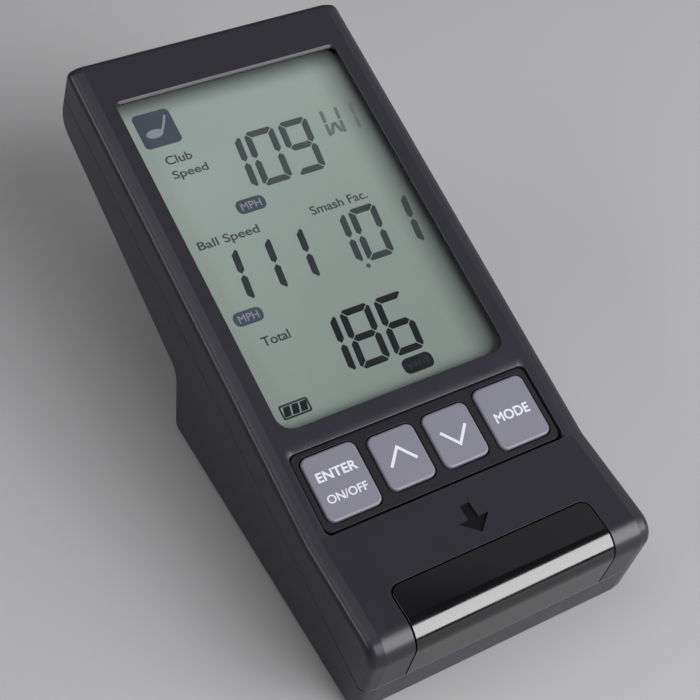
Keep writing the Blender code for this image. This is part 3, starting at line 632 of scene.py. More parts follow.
# Feature sizes in millimetres with their detail, then ranges and shares of tone
PLASTIC_CLOUDS = (14.0, 4.0)
PLASTIC_SCUFFS = (2.2, 5.0)
PLASTIC_HANDLING = (6.0, 5.0)
HANDLING_SWING = 0.025
SCUFF_RANGE = (0.15, 0.75, 0.35, 0.65)
SPECKLE_RANGE = (0.0, 0.35)
SPECKLE_SHADE = 0.72
WEAR_REACH = 0.25
WEAR_SHINE = -0.08


def plastic(name, colour, roughness, grain, grain_height, wear=1.25, cloud=0.07, specular=0.5):
    """Moulded plastic: cloudy tone, fine spark-eroded grain, worn and slightly shinier edges."""
    surface = Surface(name)
    clouds = surface.noise(*PLASTIC_CLOUDS)
    fine = surface.noise(grain, 2.0)
    tone = surface.blend(clouds, shade(colour, 1.0 - cloud), shade(colour, 1.0 + cloud))
    speckled = surface.blend(surface.spread(fine, *SPECKLE_RANGE), tone, shade(colour, SPECKLE_SHADE))
    scuffs = surface.spread(surface.noise(*PLASTIC_SCUFFS), *SCUFF_RANGE)
    worn = surface.times(surface.edge_share(WEAR_REACH), scuffs)
    swing = (roughness - HANDLING_SWING, roughness + HANDLING_SWING)
    handled = surface.spread(surface.noise(*PLASTIC_HANDLING), *swing)
    shiny = surface.node("Math", operation="ADD")
    surface.link(handled, shiny.inputs[0])
    surface.link(surface.times(worn, WEAR_SHINE), shiny.inputs[1])
    colours = surface.blend(worn, speckled, shade(colour, wear))
    return surface.finish(colours, shiny.outputs[0], fine, grain_height, {"Specular IOR Level": specular})


def mottled(name, tones, patches, fine, roughness, depth, constants):
    """Two tones shared out by patches, with roughness and relief from finer noise."""
    surface = Surface(name)
    grain = surface.noise(*fine)
    colours = surface.blend(surface.noise(*patches), *tones)
    return surface.finish(colours, surface.spread(grain, *roughness), grain, depth, constants)


def ink(name, colour, depth=0.35):
    """A display segment or a printed mark, slightly uneven in tone."""
    light = tuple(channel + (1.0 - channel) * 0.006 for channel in shade(colour, 1.0 + depth / 3))
    tones = (shade(colour, 1.0 - depth / 3), light)
    return mottled(name, tones, (3.0, 4.0), (0.2, 2.0), (0.5, 0.65), 0.002, {"Specular IOR Level": 0.08})


def metal(name, colour, roughness, stretch=(1.0, 1.0, 12.0)):
    """Plated metal with drawn or rolled streaks."""
    tones = (shade(colour, 0.8), colour)
    shine = (roughness - 0.08, roughness + 0.12)
    return mottled(name, tones, (5.0, 5.0), (0.8, 4.0, stretch), shine, 0.004, {"Metallic": 1.0})


def printed_wrap(name, colour):
    """The thin printed sleeve of a dry cell, faintly mottled and rubbed."""
    tones = (shade(colour, 0.8), colour)
    rubbed = (0.7, 4.0, (0.15, 1.0, 1.0))
    return mottled(name, tones, (3.0, 4.0), rubbed, (0.24, 0.36), 0.003, {"Metallic": 0.35})


def glassy(name, colour, roughness):
    """A display glass pane that is hidden inside: cloudy satin tone."""
    surface = Surface(name)
    clouds = surface.noise(6.0, 4.0)
    shine = surface.spread(clouds, roughness, roughness + 0.1)
    return surface.finish(surface.blend(clouds, shade(colour, 0.85), colour), shine,
                          surface.noise(0.5, 3.0), 0.003, {})


# Painted shade on the display's ground, darker downward and toward the right: shares of its tone at two places
# along the face, in metres
PAINTED_SHADE_DOWNWARD = (0.755, 1.06, 0.025, 0.095)
PAINTED_SHADE_ACROSS = (1.03, 0.92, -0.024, 0.022)
# Painted shadow beside its top and right-hand walls: axis, where it starts, where it is full, and what it
# leaves
PAINTED_WALL_SHADOWS = (("Y", 0.096, 0.102, 0.32), ("X", 0.018, 0.0265, 0.45))


def painted_display_shade(surface):
    """How light the display's ground is, as painted shade: darker downward and toward the right, and in
    painted shadow beside its top and right-hand walls.
    """
    tilt = (math.radians(FACE_TILT), 0.0, 0.0)
    local = surface.node("Mapping", vector_type="TEXTURE",
                         inputs={"Location": CASE.translation, "Rotation": tilt})
    surface.link(surface.place, local.inputs["Vector"])
    split = surface.node("SeparateXYZ")
    surface.link(local.outputs["Vector"], split.inputs[0])
    share = surface.times(surface.spread(split.outputs["Y"], *PAINTED_SHADE_DOWNWARD),
                          surface.spread(split.outputs["X"], *PAINTED_SHADE_ACROSS))
    for axis, start, stop, left in PAINTED_WALL_SHADOWS:
        fade = surface.node("MapRange", interpolation_type="SMOOTHSTEP",
                            inputs={"From Min": start, "From Max": stop, "To Min": 1.0, "To Max": left})
        surface.link(split.outputs[axis], fade.inputs["Value"])
        share = surface.times(share, fade.outputs["Result"])
    return share


def display_ground():
    """The display's grey-green reflective ground, seen through its glass, darkened by painted shade."""
    surface = Surface("display_ground")
    clouds = surface.noise(25.0, 3.0)
    grains = surface.noise(0.12, 2.0)
    tone = surface.blend(clouds, (0.144, 0.174, 0.160), (0.154, 0.182, 0.170))
    speckled = surface.blend(surface.spread(grains, 0.0, 0.3), tone, (0.134, 0.158, 0.146))
    # painted shade: the ground's colour is darkened downward, toward the right and beside the top and
    # right-hand walls
    painted_shade_colour = surface.blend(painted_display_shade(surface), (0.0, 0.0, 0.0), speckled)
    return surface.finish(painted_shade_colour, surface.spread(clouds, 0.42, 0.52), grains, 0.004,
                          {"Specular IOR Level": 0.15})


def lens_material():
    """Thin clear window: looks through, with a weak soft reflection and faint smears."""
    surface = Surface("clear_lens")
    surface.nodes.remove(surface.shader)
    gloss = surface.node("BsdfGlossy")
    smear = surface.noise(8.0, 4.0, (1.0, 0.35, 1.0))
    surface.link(surface.spread(smear, 0.05, 0.16), gloss.inputs["Roughness"])
    facing = surface.node("LayerWeight", inputs={"Blend": 0.25}).outputs["Facing"]
    mix = surface.node("MixShader")
    surface.link(surface.spread(facing, 0.006, 0.10, 0.0, 1.0), mix.inputs[0])
    surface.link(surface.node("BsdfTransparent").outputs[0], mix.inputs[1])
    surface.link(gloss.outputs[0], mix.inputs[2])
    surface.link(mix.outputs[0], surface.nodes["Material Output"].inputs["Surface"])
    return surface.material


def board_material():
    """Green solder mask with copper tracks showing through as a slight relief."""
    surface = Surface("board")
    brick = surface.node("TexBrick", inputs={"Scale": 220.0, "Mortar Size": 0.018})
    surface.link(surface.place, brick.inputs["Vector"])
    tracks = brick.outputs["Fac"]
    clouds = surface.noise(4.0, 4.0)
    mask = surface.blend(clouds, (0.010, 0.090, 0.035), (0.016, 0.130, 0.050))
    return surface.finish(surface.blend(tracks, mask, (0.03, 0.20, 0.07)), surface.spread(clouds, 0.3, 0.42),
                          tracks, 0.02, {})


HOUSING_TONE = (0.0136, 0.0125, 0.0172)
KEY_TONE = (0.091, 0.089, 0.114)

MATERIALS = {
    "housing": plastic("housing_plastic", HOUSING_TONE, 0.31, 0.22, 0.008, specular=0.25),
    "surround": plastic("surround_plastic", (0.0062, 0.0060, 0.0084), 0.40, 0.22, 0.008, specular=0.18),
    "radar_plastic": plastic("radar_plastic", (0.0020, 0.0019, 0.0027), 0.13, 0.5, 0.0015, 1.6, specular=0.6),
    "key_plastic": plastic("key_plastic", KEY_TONE, 0.50, 0.18, 0.006, 1.12, 0.04),
    # painted shade: a near-black fill for the floor of the deck's recessed arrow
    "arrow_shade_fill": plastic("arrow_shade_fill", (0.0022, 0.0021, 0.0028), 0.55, 0.2, 0.006, specular=0.10),
    "display_ground": display_ground(),
    "clear": lens_material(),
    "legend": ink("legend_white", (0.355, 0.35, 0.40), 0.1),
    # Segment inks in several tones of one ink: painted shading of the display's contrast, darker towards the
    # bottom, as seen from one viewing angle
    "ink_dark": ink("ink_dark", (0.0025, 0.0035, 0.0050)),
    "ink_mid": ink("ink_mid", (0.011, 0.014, 0.017)),
    "ink_firm": ink("ink_firm", (0.018, 0.023, 0.025)),
    "ink_soft": ink("ink_soft", (0.026, 0.032, 0.033)),
    "ink_faint": ink("ink_faint", (0.060, 0.072, 0.070)),
    "ink_icon": ink("ink_icon", (0.027, 0.033, 0.045)),
    "ink_light": ink("ink_light", (0.115, 0.125, 0.145)),
    "film": metal("reflector_film", (0.55, 0.58, 0.55), 0.35),
    "glass": glassy("rear_glass", (0.30, 0.34, 0.31), 0.2),
    "frame_plastic": plastic("frame_plastic", (0.50, 0.50, 0.47), 0.5, 0.3, 0.01, 1.05, 0.05),
    "rubber": plastic("rubber", (0.020, 0.020, 0.021), 0.75, 0.25, 0.02, 1.3, 0.1, 0.3),
    "board": board_material(),
    "chip": plastic("chip_epoxy", (0.016, 0.016, 0.017), 0.5, 0.15, 0.008),
    "steel": metal("plated_steel", (0.62, 0.61, 0.58), 0.28),
    "screw_steel": metal("screw_steel", (0.16, 0.16, 0.17), 0.34, (1.0, 1.0, 4.0)),
    "cell_wrap": printed_wrap("cell_wrap", (0.016, 0.026, 0.058)),
    "cell_band": printed_wrap("cell_band", (0.52, 0.45, 0.30)),
    "cell_end": metal("cell_end", (0.66, 0.66, 0.65), 0.25, (1.0, 1.0, 1.0)),
    "flex": plastic("flex_film", (0.35, 0.15, 0.03), 0.35, 0.4, 0.004, 1.1),
    "red_wire": plastic("red_wire", (0.35, 0.012, 0.012), 0.45, 0.2, 0.006, 1.1),
    "black_wire": plastic("black_wire", (0.008, 0.008, 0.009), 0.45, 0.2, 0.006, 1.3),
}


# ---------------- case

def rim_sections():
    """Half widths and insets from a side wall up over the rounded rim to the flat face."""
    half = CASE_WIDTH / 2
    slope = math.radians(RIM_SLOPE)
    drop = RIM_BAND * math.tan(slope)
    sections = [(half, drop + RIM_RADIUS * math.cos(slope) + CREASE)]
    for step in range(RIM_STEPS + 1):
        angle = (math.pi / 2 - slope) * step / RIM_STEPS
        width = half - RIM_RADIUS + RIM_RADIUS * math.cos(angle)
        inset = drop + RIM_RADIUS * (math.cos(slope) - math.sin(angle))
        sections.append((width, inset))
    flat_half = half - RIM_RADIUS * (1 - math.sin(slope)) - RIM_BAND
    for reach in (RIM_BAND - CREASE, CREASE):
        sections.append((flat_half + reach, reach * math.tan(slope)))
    sections.append((flat_half, 0.0))
    sections.append((flat_half - CREASE, 0.0))
    return sections


def case_solid(name, extra=0.0):
    """The whole case as one solid with its rounded rim."""
    sections = rim_sections()
    stations = [(-width, inset) for width, inset in sections]
    stations += [(width, inset) for width, inset in reversed(sections)]
    loops = []
    for side, inset in stations:
        loops.append([(side, point.x, point.y) for point in case_outline(inset + extra)])
    return loft(name, loops)


def hollow(name, half_width=CASE_WIDTH / 2 - WALL):
    """The inside of the case, a wall's thickness in from its side view."""
    return side_prism(name, case_outline(WALL), half_width)


def band(name, low, high):
    """A block that holds all of the case between two heights."""
    return box(name, (-FAR, -FAR, low), (FAR, 2 * FAR, high))


def radar_prism(name, clearance):
    """The volume that the radar window takes out of the upper shell."""
    radii = (RADAR_CORNER,) * 4
    outline = centred_rectangle(2 * RADAR_HALF_WIDTH, -CASE_WIDTH, RADAR_TOP_Y, radii, clearance)
    return slab(name, outline, PARTING_Z - FAR, FAR)


def pocket_outline(grow_side, grow_top):
    """The key pocket's outline, grown at its sides and its top edge only."""
    width = POCKET_WIDTH + 2 * grow_side
    return centred_rectangle(width, POCKET_Y[0], POCKET_Y[1] + grow_top, (POCKET_RADIUS,) * 4)


def window_outline(grow, grow_top):
    """The display opening's outline, its top edge moved by its own amount."""
    low, high = WINDOW_Y
    radii = [max(radius + grow, EDGE) for radius in WINDOW_RADII]
    half = WINDOW_WIDTH / 2 + grow
    return rounded_rectangle(-half, half, low - grow, high + grow_top, radii)


def window_cutter():
    """Display opening: a small chamfer all round and a wider one along its top edge."""
    top = WINDOW_TOP_CHAMFER
    return plate("window_cut", [
        (window_outline(0.0, -top), -WALL - OVERCUT),
        (window_outline(0.0, -top), -top),
        (window_outline(0.0, -EDGE), -EDGE),
        (window_outline(EDGE, 0.0), 0.0),
        (window_outline(2 * EDGE, EDGE), EDGE),
    ])


def pocket_cutters():
    """Key pocket: a shallow sloping edge, an upright step and the opening for the key surround."""
    opening = pocket_outline(0.0, 0.0)
    slope = plate("pocket_slope", [
        (opening, -POCKET_DEPTH),
        (opening, -POCKET_STEP),
        (pocket_outline(*POCKET_SLOPE), 0.0),
        (pocket_outline(*(2 * reach for reach in POCKET_SLOPE)), POCKET_STEP),
    ])
    return [slope, slab("pocket_opening", opening, -WALL - OVERCUT, -POCKET_DEPTH + POCKET_OVERLAP)]


def arrow(name, matrix, tail, tip, low, high):
    """A plain solid arrow along y."""
    length = tip - tail
    head = tail + 0.5 * length
    shaft, wing = (share * abs(length) for share in ARROW_SHARES)
    outline = [(-shaft, tail), (shaft, tail), (shaft, head), (wing, head), (0.0, tip), (-wing, head),
               (-shaft, head)]
    return slab(name, outline, low, high, matrix)


def build_deck_arrow():
    """A dark fill on the floor of the deck's recessed arrow: painted shade for the dark look of its engraved
    lines.
    """
    shade_fill = arrow("deck_arrow", DECK, *DECK_ARROW, -WALL / 2, -MARK_DEPTH + INK_HEIGHT)
    finish_piece(shade_fill, "arrow_shade_fill", "case")


def build_front_shell():
    """Upper shell with its display opening, key pocket, radar opening and direction arrow."""
    shell = case_solid("front_shell")
    lower_half = band("front_below", -FAR, PARTING_Z + GAP / 2)
    seat = centred_rectangle(SEAT_WIDTH, GLASS_LEDGE - GAP, GLASS_TOP + GAP, (SEAT_RADIUS,) * 4)
    seat_cut = slab("seat_cut", seat, -WALL - OVERCUT, -WINDOW_LIP)
    cutters = [hollow("front_cavity"), lower_half, window_cutter(), seat_cut, *pocket_cutters()]
    combine(shell, [*cutters, radar_prism("radar_cut", GAP / 2)], "DIFFERENCE")
    soften(shell)
    combine(shell, [arrow("mark", DECK, *DECK_ARROW, -MARK_DEPTH, OVERCUT)], "DIFFERENCE")
    smooth(shell)
    finish_piece(shell, "housing", "case", ["front_housing"])


def screw_posts(label, place_at, radius, low, high):
    """A pair of posts or holes along the case frame's z, one on each side."""
    posts = []
    for side, word in SIDES:
        centre = (side * place_at[0], place_at[1])
        posts.append(turned(f"{label}_{word}", centre, [(low, radius), (high, radius)]))
    return posts


def bay_cutters():
    """What is taken out of the foot for the cells, the cover, its grip and its tongues."""
    door = COVER_HALF_WIDTH + GAP
    slot = door + TONGUE_WIDTH
    grip_y = BAY_Y[1] + GRIP_WALL
    bay = ((-BAY_HALF_WIDTH, BAY_Y[0], -OVERCUT), (BAY_HALF_WIDTH, BAY_Y[1], BAY_CEILING))
    slot_low, slot_high = SLOT_Z
    return [
        box("bay_cut", *bay, FOOT),
        box("door_cut", (-door, COVER_START_Y - GAP, -OVERCUT), (door, FAR, WALL + GAP), FOOT),
        box("grip_cut", (-door, grip_y, -1.2 * OVERCUT), (door, FAR, COVER_UPSTAND + GAP), FOOT),
        box("slot_cut", (-slot, COVER_START_Y + SLOT_SETBACK, slot_low), (slot, FAR, slot_high), FOOT),
    ]


def build_rear_shell():
    """Lower shell: slab back, foot with the open battery bay, counterbores for the screws."""
    shell = case_solid("rear_shell")
    combine(shell, [hollow("rear_cavity"), band("rear_above", PARTING_Z - GAP / 2, FAR)], "DIFFERENCE")
    added = [side_prism("tray_block", TRAY_OUTLINE, TRAY_HALF_WIDTH, FOOT)]
    cuts = bay_cutters()
    for label, screw in CASE_SCREWS.items():
        added += screw_posts(f"{label}_socket", screw["at"], *screw["socket"])
        bore = (BORE_RADIUS, screw["bore"], screw["seat"] + GAP)
        cuts += screw_posts(f"{label}_counterbore", screw["at"], *bore)
    combine(shell, added, "UNION")
    combine(shell, cuts, "DIFFERENCE")
    soften(shell)
    finish_piece(shell, "housing", "case", ["rear_housing"])


def build_radar_panel():
    """The dark window over the antenna, flush with the shell's own curve."""
    panel = case_solid("radar_panel")
    combine(panel, [hollow("panel_cavity"), band("panel_below", -FAR, PARTING_Z + GAP / 2)], "DIFFERENCE")
    combine(panel, [radar_prism("panel_keep", -GAP / 2)], "INTERSECT")
    soften(panel, 0.5 * EDGE)
    finish_piece(panel, "radar_plastic", "case", ["radar_window"])


def grip_ribs():
    """Low ribs across the cover's end, where a thumb pushes it."""
    ribs = []
    for index in range(RIB_COUNT):
        y = RIB_FIRST_Y + RIB_PITCH * index
        radii = (RIB_RADIUS,) * 4
        outline = rounded_rectangle(-RIB_REACH, RIB_REACH, y - RIB_HALF, y + RIB_HALF, radii, 0.0, 4)
        ribs.append(slab(f"rib_{index}", outline, -OVERCUT, COVER_RECESS + RIB_DEPTH, FOOT))
    return ribs


def build_cover():
    """The sliding cover: a plate with an upstand at the heel, side tongues and thumb grooves."""
    cover = case_solid("sliding_cover", COVER_RECESS)
    low = (-COVER_HALF_WIDTH, COVER_START_Y, -OVERCUT)
    keep = box("cover_keep", low, (COVER_HALF_WIDTH, FAR, COVER_UPSTAND), FOOT)
    combine(cover, [hollow("cover_cavity", FAR)], "DIFFERENCE")
    combine(cover, [keep], "INTERSECT")
    tongues = []
    for side, word in SIDES:
        ends = (COVER_HALF_WIDTH - TONGUE_ROOT, COVER_HALF_WIDTH + TONGUE_WIDTH)
        left, right = sorted(side * end for end in ends)
        (start, stop), (bottom, top) = TONGUE_Y, TONGUE_Z
        tongues.append(box(f"tongue_{word}", (left, start, bottom), (right, stop, top), FOOT))
    combine(cover, tongues, "UNION")
    mark = arrow("cover_mark", FOOT, *COVER_ARROW, -OVERCUT, COVER_RECESS + MARK_DEPTH)
    combine(cover, [*grip_ribs(), mark], "DIFFERENCE")
    soften(cover)
    finish_piece(cover, "housing", "cover", ["battery_cover"])


# ---------------- keys

def key_outline(width, height, grow):
    """A key's rounded outline about its own centre."""
    return centred_rectangle(width, -height / 2, height / 2, (KEY_RADIUS,) * 4, grow)


def build_surround():
    """The recessed panel round the keys, with softened key holes."""
    low, high = POCKET_Y
    panel = centred_rectangle(POCKET_WIDTH - 2 * GAP, low + SEAM, high - SEAM_TOP, (POCKET_RADIUS,) * 4)
    grow_side, grow_bottom, grow_top = FLANGE_GROW
    flange = centred_rectangle(POCKET_WIDTH + 2 * grow_side, low - grow_bottom, high + grow_top,
                               (FLANGE_RADIUS,) * 4)
    flange_top = -WALL - GAP
    levels = [(flange, flange_top - FLANGE_THICKNESS), (flange, flange_top)]
    levels += [(panel, flange_top + LEDGE), (panel, -POCKET_DEPTH)]
    surround = plate("key_surround", levels)
    holes = []
    for name, x, width, height in KEYS:
        hole = key_outline(width, height, GAP)
        holes.append(slab(f"{name}_hole", hole, -2 * WALL, OVERCUT, CASE, (x, KEY_Y)))
    combine(surround, holes, "DIFFERENCE")
    soften(surround)
    finish_piece(surround, "surround", "case", ["keypad_bezel"])


def cap_levels(width, height):
    """Levels of a key cap from its flange up over its rounded top edge to a faint crown."""
    levels = [
        (key_outline(width, height, KEY_FLANGE), KEY_BOTTOM),
        (key_outline(width, height, KEY_FLANGE), KEY_FLANGE_TOP),
        (key_outline(width, height, 0.0), KEY_FLANGE_TOP + LEDGE),
        (key_outline(width, height, 0.0), KEY_TOP - KEY_ROUND - CREASE),
    ]
    for step in range(KEY_STEPS + 1):
        angle = math.pi / 2 * step / KEY_STEPS
        inset = KEY_ROUND * (1 - math.cos(angle))
        levels.append((key_outline(width, height, -inset), KEY_TOP - KEY_ROUND * (1 - math.sin(angle))))
    levels.append((key_outline(width, height, -KEY_ROUND - CREASE), KEY_TOP))
    return levels


def build_keys():
    """Four satin caps, each on its own sliding body."""
    for name, x, width, height in KEYS:
        cap = plate(f"{name}_cap", cap_levels(width, height), CASE, (x, KEY_Y))
        smooth(cap)
        finish_piece(cap, "key_plastic", f"{name}_key", [f"{name}_button"])


def glyphs(name, words, area, height, thickness, weight):
    """Letters as thin solids that fill an area (left, right, low, high)."""
    curve = bpy.data.curves.new(name, "FONT")
    curve.body = words
    curve.extrude = 0.05
    curve.bevel_depth = weight
    curve.bevel_resolution = 0
    curve.resolution_u = 6
    draft = new_object(f"{name}_draft", curve, Matrix.Identity(4))
    bpy.context.view_layer.update()
    graph = bpy.context.evaluated_depsgraph_get()
    mesh = bpy.data.meshes.new_from_object(draft.evaluated_get(graph))
    bpy.data.objects.remove(draft)
    lows = [min(vertex.co[axis] for vertex in mesh.vertices) for axis in range(3)]
    highs = [max(vertex.co[axis] for vertex in mesh.vertices) for axis in range(3)]
    targets = ((area[0], area[1]), (area[2], area[3]), (height, height + thickness))
    for vertex in mesh.vertices:
        for axis, (low, high) in enumerate(targets):
            share = (vertex.co[axis] - lows[axis]) / (highs[axis] - lows[axis])
            vertex.co[axis] = (low + (high - low) * share) * MM
    shape = bmesh.new()
    shape.from_mesh(mesh)
    bmesh.ops.remove_doubles(shape, verts=shape.verts, dist=WELD * MM)
    bmesh.ops.recalc_face_normals(shape, faces=shape.faces)
    shape.to_mesh(mesh)
    shape.free()
    return new_object(name, mesh)


def stroke(points, width):
    """Outline of a line of even width through points, with square ends and mitred bends."""
    path = [Vector(point) for point in points]
    left = []
    right = []
    for index, point in enumerate(path):
        before = (point - path[index - 1]).normalized() if index else None
        after = (path[index + 1] - point).normalized() if index + 1 < len(path) else None
        first = before or after
        second = after or before
        normal = perpendicular(first) + perpendicular(second)
        normal *= width / 2 / (1.0 + first.dot(second))
        left.append(point + normal)
        right.append(point - normal)
    return left + right[::-1]


def build_legends():
    """White legends on the keys: control words and two chevrons."""
    words = (
        ("enter", "ENTER", (-24.35, -15.45, 9.95, 12.0), 0.028),
        ("enter", "ON/OFF", (-24.35, -15.45, 5.35, 7.15), 0.018),
        ("mode", "MODE", (15.75, 23.9, 7.5, 9.7), 0.026),
    )
    for number, (key, text, area, weight) in enumerate(words):
        legend = glyphs(f"{key}_legend_{number + 1}", text, area, KEY_TOP, LEGEND_HEIGHT, weight)
        finish_piece(legend, "legend", f"{key}_key")
    reach, rise = CHEVRON
    for key, centre, turn in (("up", (-6.35, 9.2), 1), ("down", (6.35, 8.45), -1)):
        line = [(-reach, -rise * turn), (0.0, rise * turn), (reach, -rise * turn)]
        outline = stroke(line, CHEVRON_STROKE)
        chevron = slab(f"{key}_legend", outline, KEY_TOP, KEY_TOP + LEGEND_HEIGHT, CASE, centre)
        finish_piece(chevron, "legend", f"{key}_key")


# ---------------- display

def lean(points, left, base):
    """Raise points to a base line and slant them about it, as the display's digits are."""
    return [(x + SLANT * y + left, y + base) for x, y in points]


def segment_outlines(width, height):
    """The seven segments of an upright digit, by letter, each mitred with its corners cut short."""
    half = STROKE / 2
    tip = half * SEGMENT_TIP
    reach = half - 2 * tip
    left, right, low, high, middle = half, width - half, half, height - half, height / 2
    start, end = left + SEGMENT_GAP, right - SEGMENT_GAP
    span = middle - half - SEGMENT_GAP
    # A level segment as (x, distance outward), and an upright one as (distance outward, distance
    # from its corner of the digit)
    level = [(start + half, -half), (start - tip, tip), (start + reach, half), (end - reach, half),
             (end + tip, tip), (end - half, -half)]
    upright = [(-half, SEGMENT_GAP + half), (tip, SEGMENT_GAP - tip), (half, SEGMENT_GAP + reach),
               (half, span - half), (0.0, span), (-half, span - half)]
    return {
        "a": [(x, high + out) for x, out in level],
        "b": [(right + out, high - along) for out, along in upright],
        "c": [(right + out, low + along) for out, along in upright],
        "d": [(x, low - out) for x, out in level],
        "e": [(left - out, low + along) for out, along in upright],
        "f": [(left - out, high - along) for out, along in upright],
        "g": [(start, middle), (start + half, middle - half), (end - half, middle - half), (end, middle),
              (end - half, middle + half), (start + half, middle + half)],
    }


def ink_piece(name, outlines, material, height=0.0):
    """Thin display marks from flat outlines, as one piece."""
    low = GLASS_FACE + height
    parts = []
    for number, outline in enumerate(outlines):
        parts.append(slab(f"{name}_{number}", outline, low, low + INK_HEIGHT))
    finish_piece(join(name, parts), material, "case")


def build_digits():
    """Every row of large digits, with the faint letter and numeral beside the first."""
    for name, digits, lefts, base, width, height, material in ROWS:
        shapes = segment_outlines(width, height)
        outlines = []
        for digit, left in zip(digits, lefts):
            outlines += [lean(shapes[letter], left, base) for letter in SEGMENTS_OF[digit]]
        ink_piece(name, outlines, material)
    ink_piece("decimal_point", [ellipse((8.4, 49.6), (0.52, 0.52), 0, 24)], "ink_soft")
    outlines = [lean(stroke(ends, CLUB_STROKE), *CLUB_MARKS_AT) for ends in CLUB_MARKS]
    ink_piece("club_digits", outlines, "ink_faint")


def build_words():
    """The display's small words."""
    words = (
        ("word_club", "Club", (-21.3, -15.4, 85.2, 87.3), "ink_soft"),
        ("word_speed", "Speed", (-21.3, -13.3, 81.1, 83.6), "ink_soft"),
        ("word_ball_speed", "Ball Speed", (-23.6, -9.7, 63.9, 66.5), "ink_soft"),
        ("word_factor", "Smash Fac.", (2.6, 16.2, 64.4, 66.5), "ink_soft"),
        ("word_total", "Total", (-20.7, -14.5, 40.4, 42.5), "ink_firm"),
    )
    for name, text, area, material in words:
        finish_piece(glyphs(name, text, area, GLASS_FACE, INK_HEIGHT, WORD_WEIGHT), material, "case")


def build_pills():
    """Dark unit labels with pale letters."""
    pills = (
        ("unit_speed", "MPH", (-12.1, -5.4, 69.4, 72.7), "ink_icon", "ink_light"),
        ("unit_ball", "MPH", (-24.0, -17.5, 46.0, 49.2), "ink_icon", "ink_light"),
        ("unit_distance", "yard", (4.1, 11.1, 24.3, 27.8), "ink_dark", "ink_mid"),
    )
    side, end = PILL_MARGIN
    for name, text, (left, right, low, high), material, letter_material in pills:
        ink_piece(name, [rounded_rectangle(left, right, low, high, (PILL_RADIUS,) * 4)], material)
        area = (left + side, right - side, low + end, high - end)
        letters = glyphs(f"{name}_word", text, area, GLASS_FACE + INK_HEIGHT, INK_HEIGHT, PILL_WEIGHT)
        finish_piece(letters, letter_material, "case")


def ellipse(centre, radii, turn, steps=32):
    """Points round a turned ellipse."""
    rotation = Matrix.Rotation(math.radians(turn), 2)
    points = []
    for step in range(steps):
        angle = math.tau * step / steps
        arm = Vector((radii[0] * math.cos(angle), radii[1] * math.sin(angle)))
        points.append(Vector(centre) + rotation @ arm)
    return points


def build_icons():
    """The club icon and the battery gauge."""
    ink_piece("club_icon", [rounded_rectangle(-23.9, -15.5, 89.9, 98.5, (1.1,) * 4)], "ink_icon")
    head = ellipse((-20.6, 93.2), (1.95, 1.05), 3)
    shaft = stroke([(-19.6, 92.9), (-18.5, 93.9), (-17.6, 95.3), (-16.8, 96.9)], 0.55)
    ink_piece("club_shape", [head], "ink_light", INK_HEIGHT)
    ink_piece("club_shaft", [shaft], "ink_light", 2 * INK_HEIGHT)
    outer = rounded_rectangle(-24.0, -17.6, 24.6, 27.8, (0.5,) * 4)
    case = slab("gauge_outline", outer, GLASS_FACE, GLASS_FACE + INK_HEIGHT)
    inner = rounded_rectangle(-23.6, -18.0, 25.0, 27.4, (0.2,) * 4)
    combine(case, [slab("gauge_hollow", inner, GLASS_FACE - OVERCUT, GLASS_FACE + OVERCUT)], "DIFFERENCE")
    finish_piece(case, "ink_mid", "case")
    (low, high), (wide, narrow) = GAUGE_BAR_Y, GAUGE_BAR_REACH
    bars = [[(x - wide, low), (x + narrow, low), (x + wide, high), (x - narrow, high)] for x in GAUGE_BAR_X]
    ink_piece("gauge_bars", bars, "ink_dark")


def build_display_pane():
    """The display's glass with its pale ground and a fine chamfer round its face."""
    half = GLASS_WIDTH / 2
    outline = rounded_rectangle(-half, half, GLASS_LEDGE, GLASS_TOP, (GLASS_RADIUS,) * 4)
    slim = rounded_rectangle(-half, half, GLASS_LEDGE, GLASS_TOP, (GLASS_RADIUS,) * 4, -EDGE)
    bottom = GLASS_FACE - GLASS_THICKNESS
    pane = plate("display_pane", [(outline, bottom), (outline, GLASS_FACE - EDGE), (slim, GLASS_FACE)])
    finish_piece(pane, "display_ground", "case", ["lcd_front_glass"])


# ---------------- battery bay and screws

def build_cells():
    """Four cells with a bright raised end, each with its cone spring."""
    for index in range(CELL_COUNT):
        heading = 1 if index % 2 == 0 else -1
        y = CELL_FIRST_Y + index * CELL_PITCH
        flat = BAY_HALF_WIDTH - CELL_TIP_GAP - CELL_LENGTH
        name = f"battery_{index + 1}"
        for label, material, profile in CELL_PARTS:
            facing = [(heading * (flat + position), radius) for position, radius in profile]
            item = turned(f"{name}_{label}", (y, CELL_HEIGHT), facing, FOOT, "x")
            smooth(item, ROUND_ANGLE)
            slot, stands_for = ("cell_wrap", [name]) if label == "wrap" else (None, [])
            finish_piece(item, material, "case", stands_for)
        build_spring(index, heading, y, flat - SPRING_GAP)


def build_spring(index, heading, y, stop):
    """The cone spring that presses on a cell's flat end."""
    start = SPRING_START - BAY_HALF_WIDTH
    wide, narrow = SPRING_RADII
    points = []
    for step in range(SPRING_STEPS + 1):
        share = step / SPRING_STEPS
        angle = math.tau * SPRING_TURNS * share
        radius = wide + (narrow - wide) * share
        x = heading * (start + (stop - start) * share)
        points.append((x, y + radius * math.cos(angle), CELL_HEIGHT + radius * math.sin(angle)))
    spring = wire(f"cone_spring_{index + 1}", points, SPRING_WIRE, FOOT)
    smooth(spring)
    finish_piece(spring, "steel", "case", [f"battery_spring_{index + 1}"])


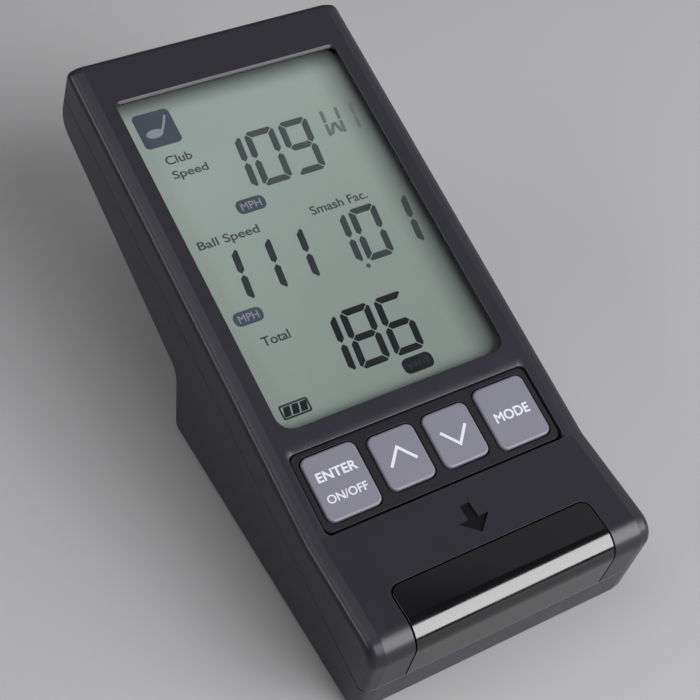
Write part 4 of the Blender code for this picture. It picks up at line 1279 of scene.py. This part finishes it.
def build_case_screws():
    """Case screws with domed heads and cross recesses."""
    number = 0
    for screw in CASE_SCREWS.values():
        tip, seat = screw["tip"], screw["seat"]
        profile = [(tip, SCREW_POINT), (tip - SCREW_POINT, SCREW_SHAFT), (seat + LEDGE, SCREW_SHAFT)]
        profile += [(seat - depth, radius) for depth, radius in SCREW_HEAD]
        for side, _ in SIDES:
            number += 1
            x, y = side * screw["at"][0], screw["at"][1]
            item = turned(f"screw_{number}", (x, y), profile)
            slots = []
            for wide, tall in (CROSS_ARM, CROSS_ARM[::-1]):
                below, floor = CROSS_DEPTHS
                low = (x - wide, y - tall, seat - below)
                slots.append(box(f"recess_{wide}_{number}", low, (x + wide, y + tall, seat - floor)))
            combine(item, slots, "DIFFERENCE")
            smooth(item, ROUND_ANGLE)
            finish_piece(item, "screw_steel", "case", [f"case_screw_{number}"])


def dress_cad_nodes():
    """Materials for the CAD nodes that stay: the insides, and the lens."""
    for entry in frame["record"]["subparts"]:
        item = frame["nodes"][entry["node"]]
        item.data.materials.clear()
        item.data.materials.append(MATERIALS[entry["material_slot"]])


# ---------------- studio

def build_floor():
    """A plain pale floor."""
    surface = Surface("pale_floor")
    surface.link(surface.blend(surface.noise(160.0, 3.0), *FLOOR_TONES), surface.shader.inputs["Base Color"])
    surface.shader.inputs["Roughness"].default_value = 0.85
    low = (-FLOOR_REACH, -FLOOR_REACH, -FLOOR_THICKNESS)
    floor = box("floor", low, (FLOOR_REACH, FLOOR_REACH, 0.0), Matrix.Identity(4))
    floor.data.materials.append(surface.material)


def soft_light(name, place_at, size, power):
    """A rectangular soft light aimed at the object."""
    data = bpy.data.lights.new(name, "AREA")
    data.shape = "RECTANGLE"
    data.size, data.size_y = size
    data.energy = power
    item = bpy.data.objects.new(name, data)
    bpy.context.scene.collection.objects.link(item)
    item.location = place_at
    item.rotation_euler = (LIGHT_TARGET - item.location).to_track_quat("-Z", "Y").to_euler()


def build_lights():
    """A broad low light in front, weaker ones overhead and at the back and sides, and a dim surround."""
    for light in LIGHTS:
        soft_light(*light)
    world = bpy.data.worlds.new("studio")
    world.use_nodes = True
    background = world.node_tree.nodes["Background"]
    background.inputs["Color"].default_value = (0.95, 0.97, 1.0, 1.0)
    background.inputs["Strength"].default_value = 0.05
    bpy.context.scene.world = world
    bpy.context.scene.view_settings.view_transform = "Standard"


def build_camera():
    """The camera, placed in the case frame."""
    data = bpy.data.cameras.new("camera")
    data.lens = 77.4
    data.sensor_width = 36.0
    data.clip_start = 0.01
    item = bpy.data.objects.new("camera", data)
    bpy.context.scene.collection.objects.link(item)
    axes = [Vector(axis).normalized() for axis in (CAMERA_RIGHT, CAMERA_UP, CAMERA_BACK)]
    turn = Matrix(axes).transposed().to_4x4()
    place = Matrix.Translation(CASE @ (Vector(CAMERA_AT) * MM))
    item.matrix_world = place @ CASE.to_3x3().to_4x4() @ turn
    bpy.context.scene.camera = item


def main():
    """Build the looks."""
    dress_cad_nodes()
    build_front_shell()
    build_deck_arrow()
    build_rear_shell()
    build_radar_panel()
    build_cover()
    build_surround()
    build_keys()
    build_legends()
    build_display_pane()
    build_digits()
    build_words()
    build_pills()
    build_icons()
    build_cells()
    build_case_screws()
    build_floor()
    build_lights()
    build_camera()
    bpy.context.view_layer.update()


main()
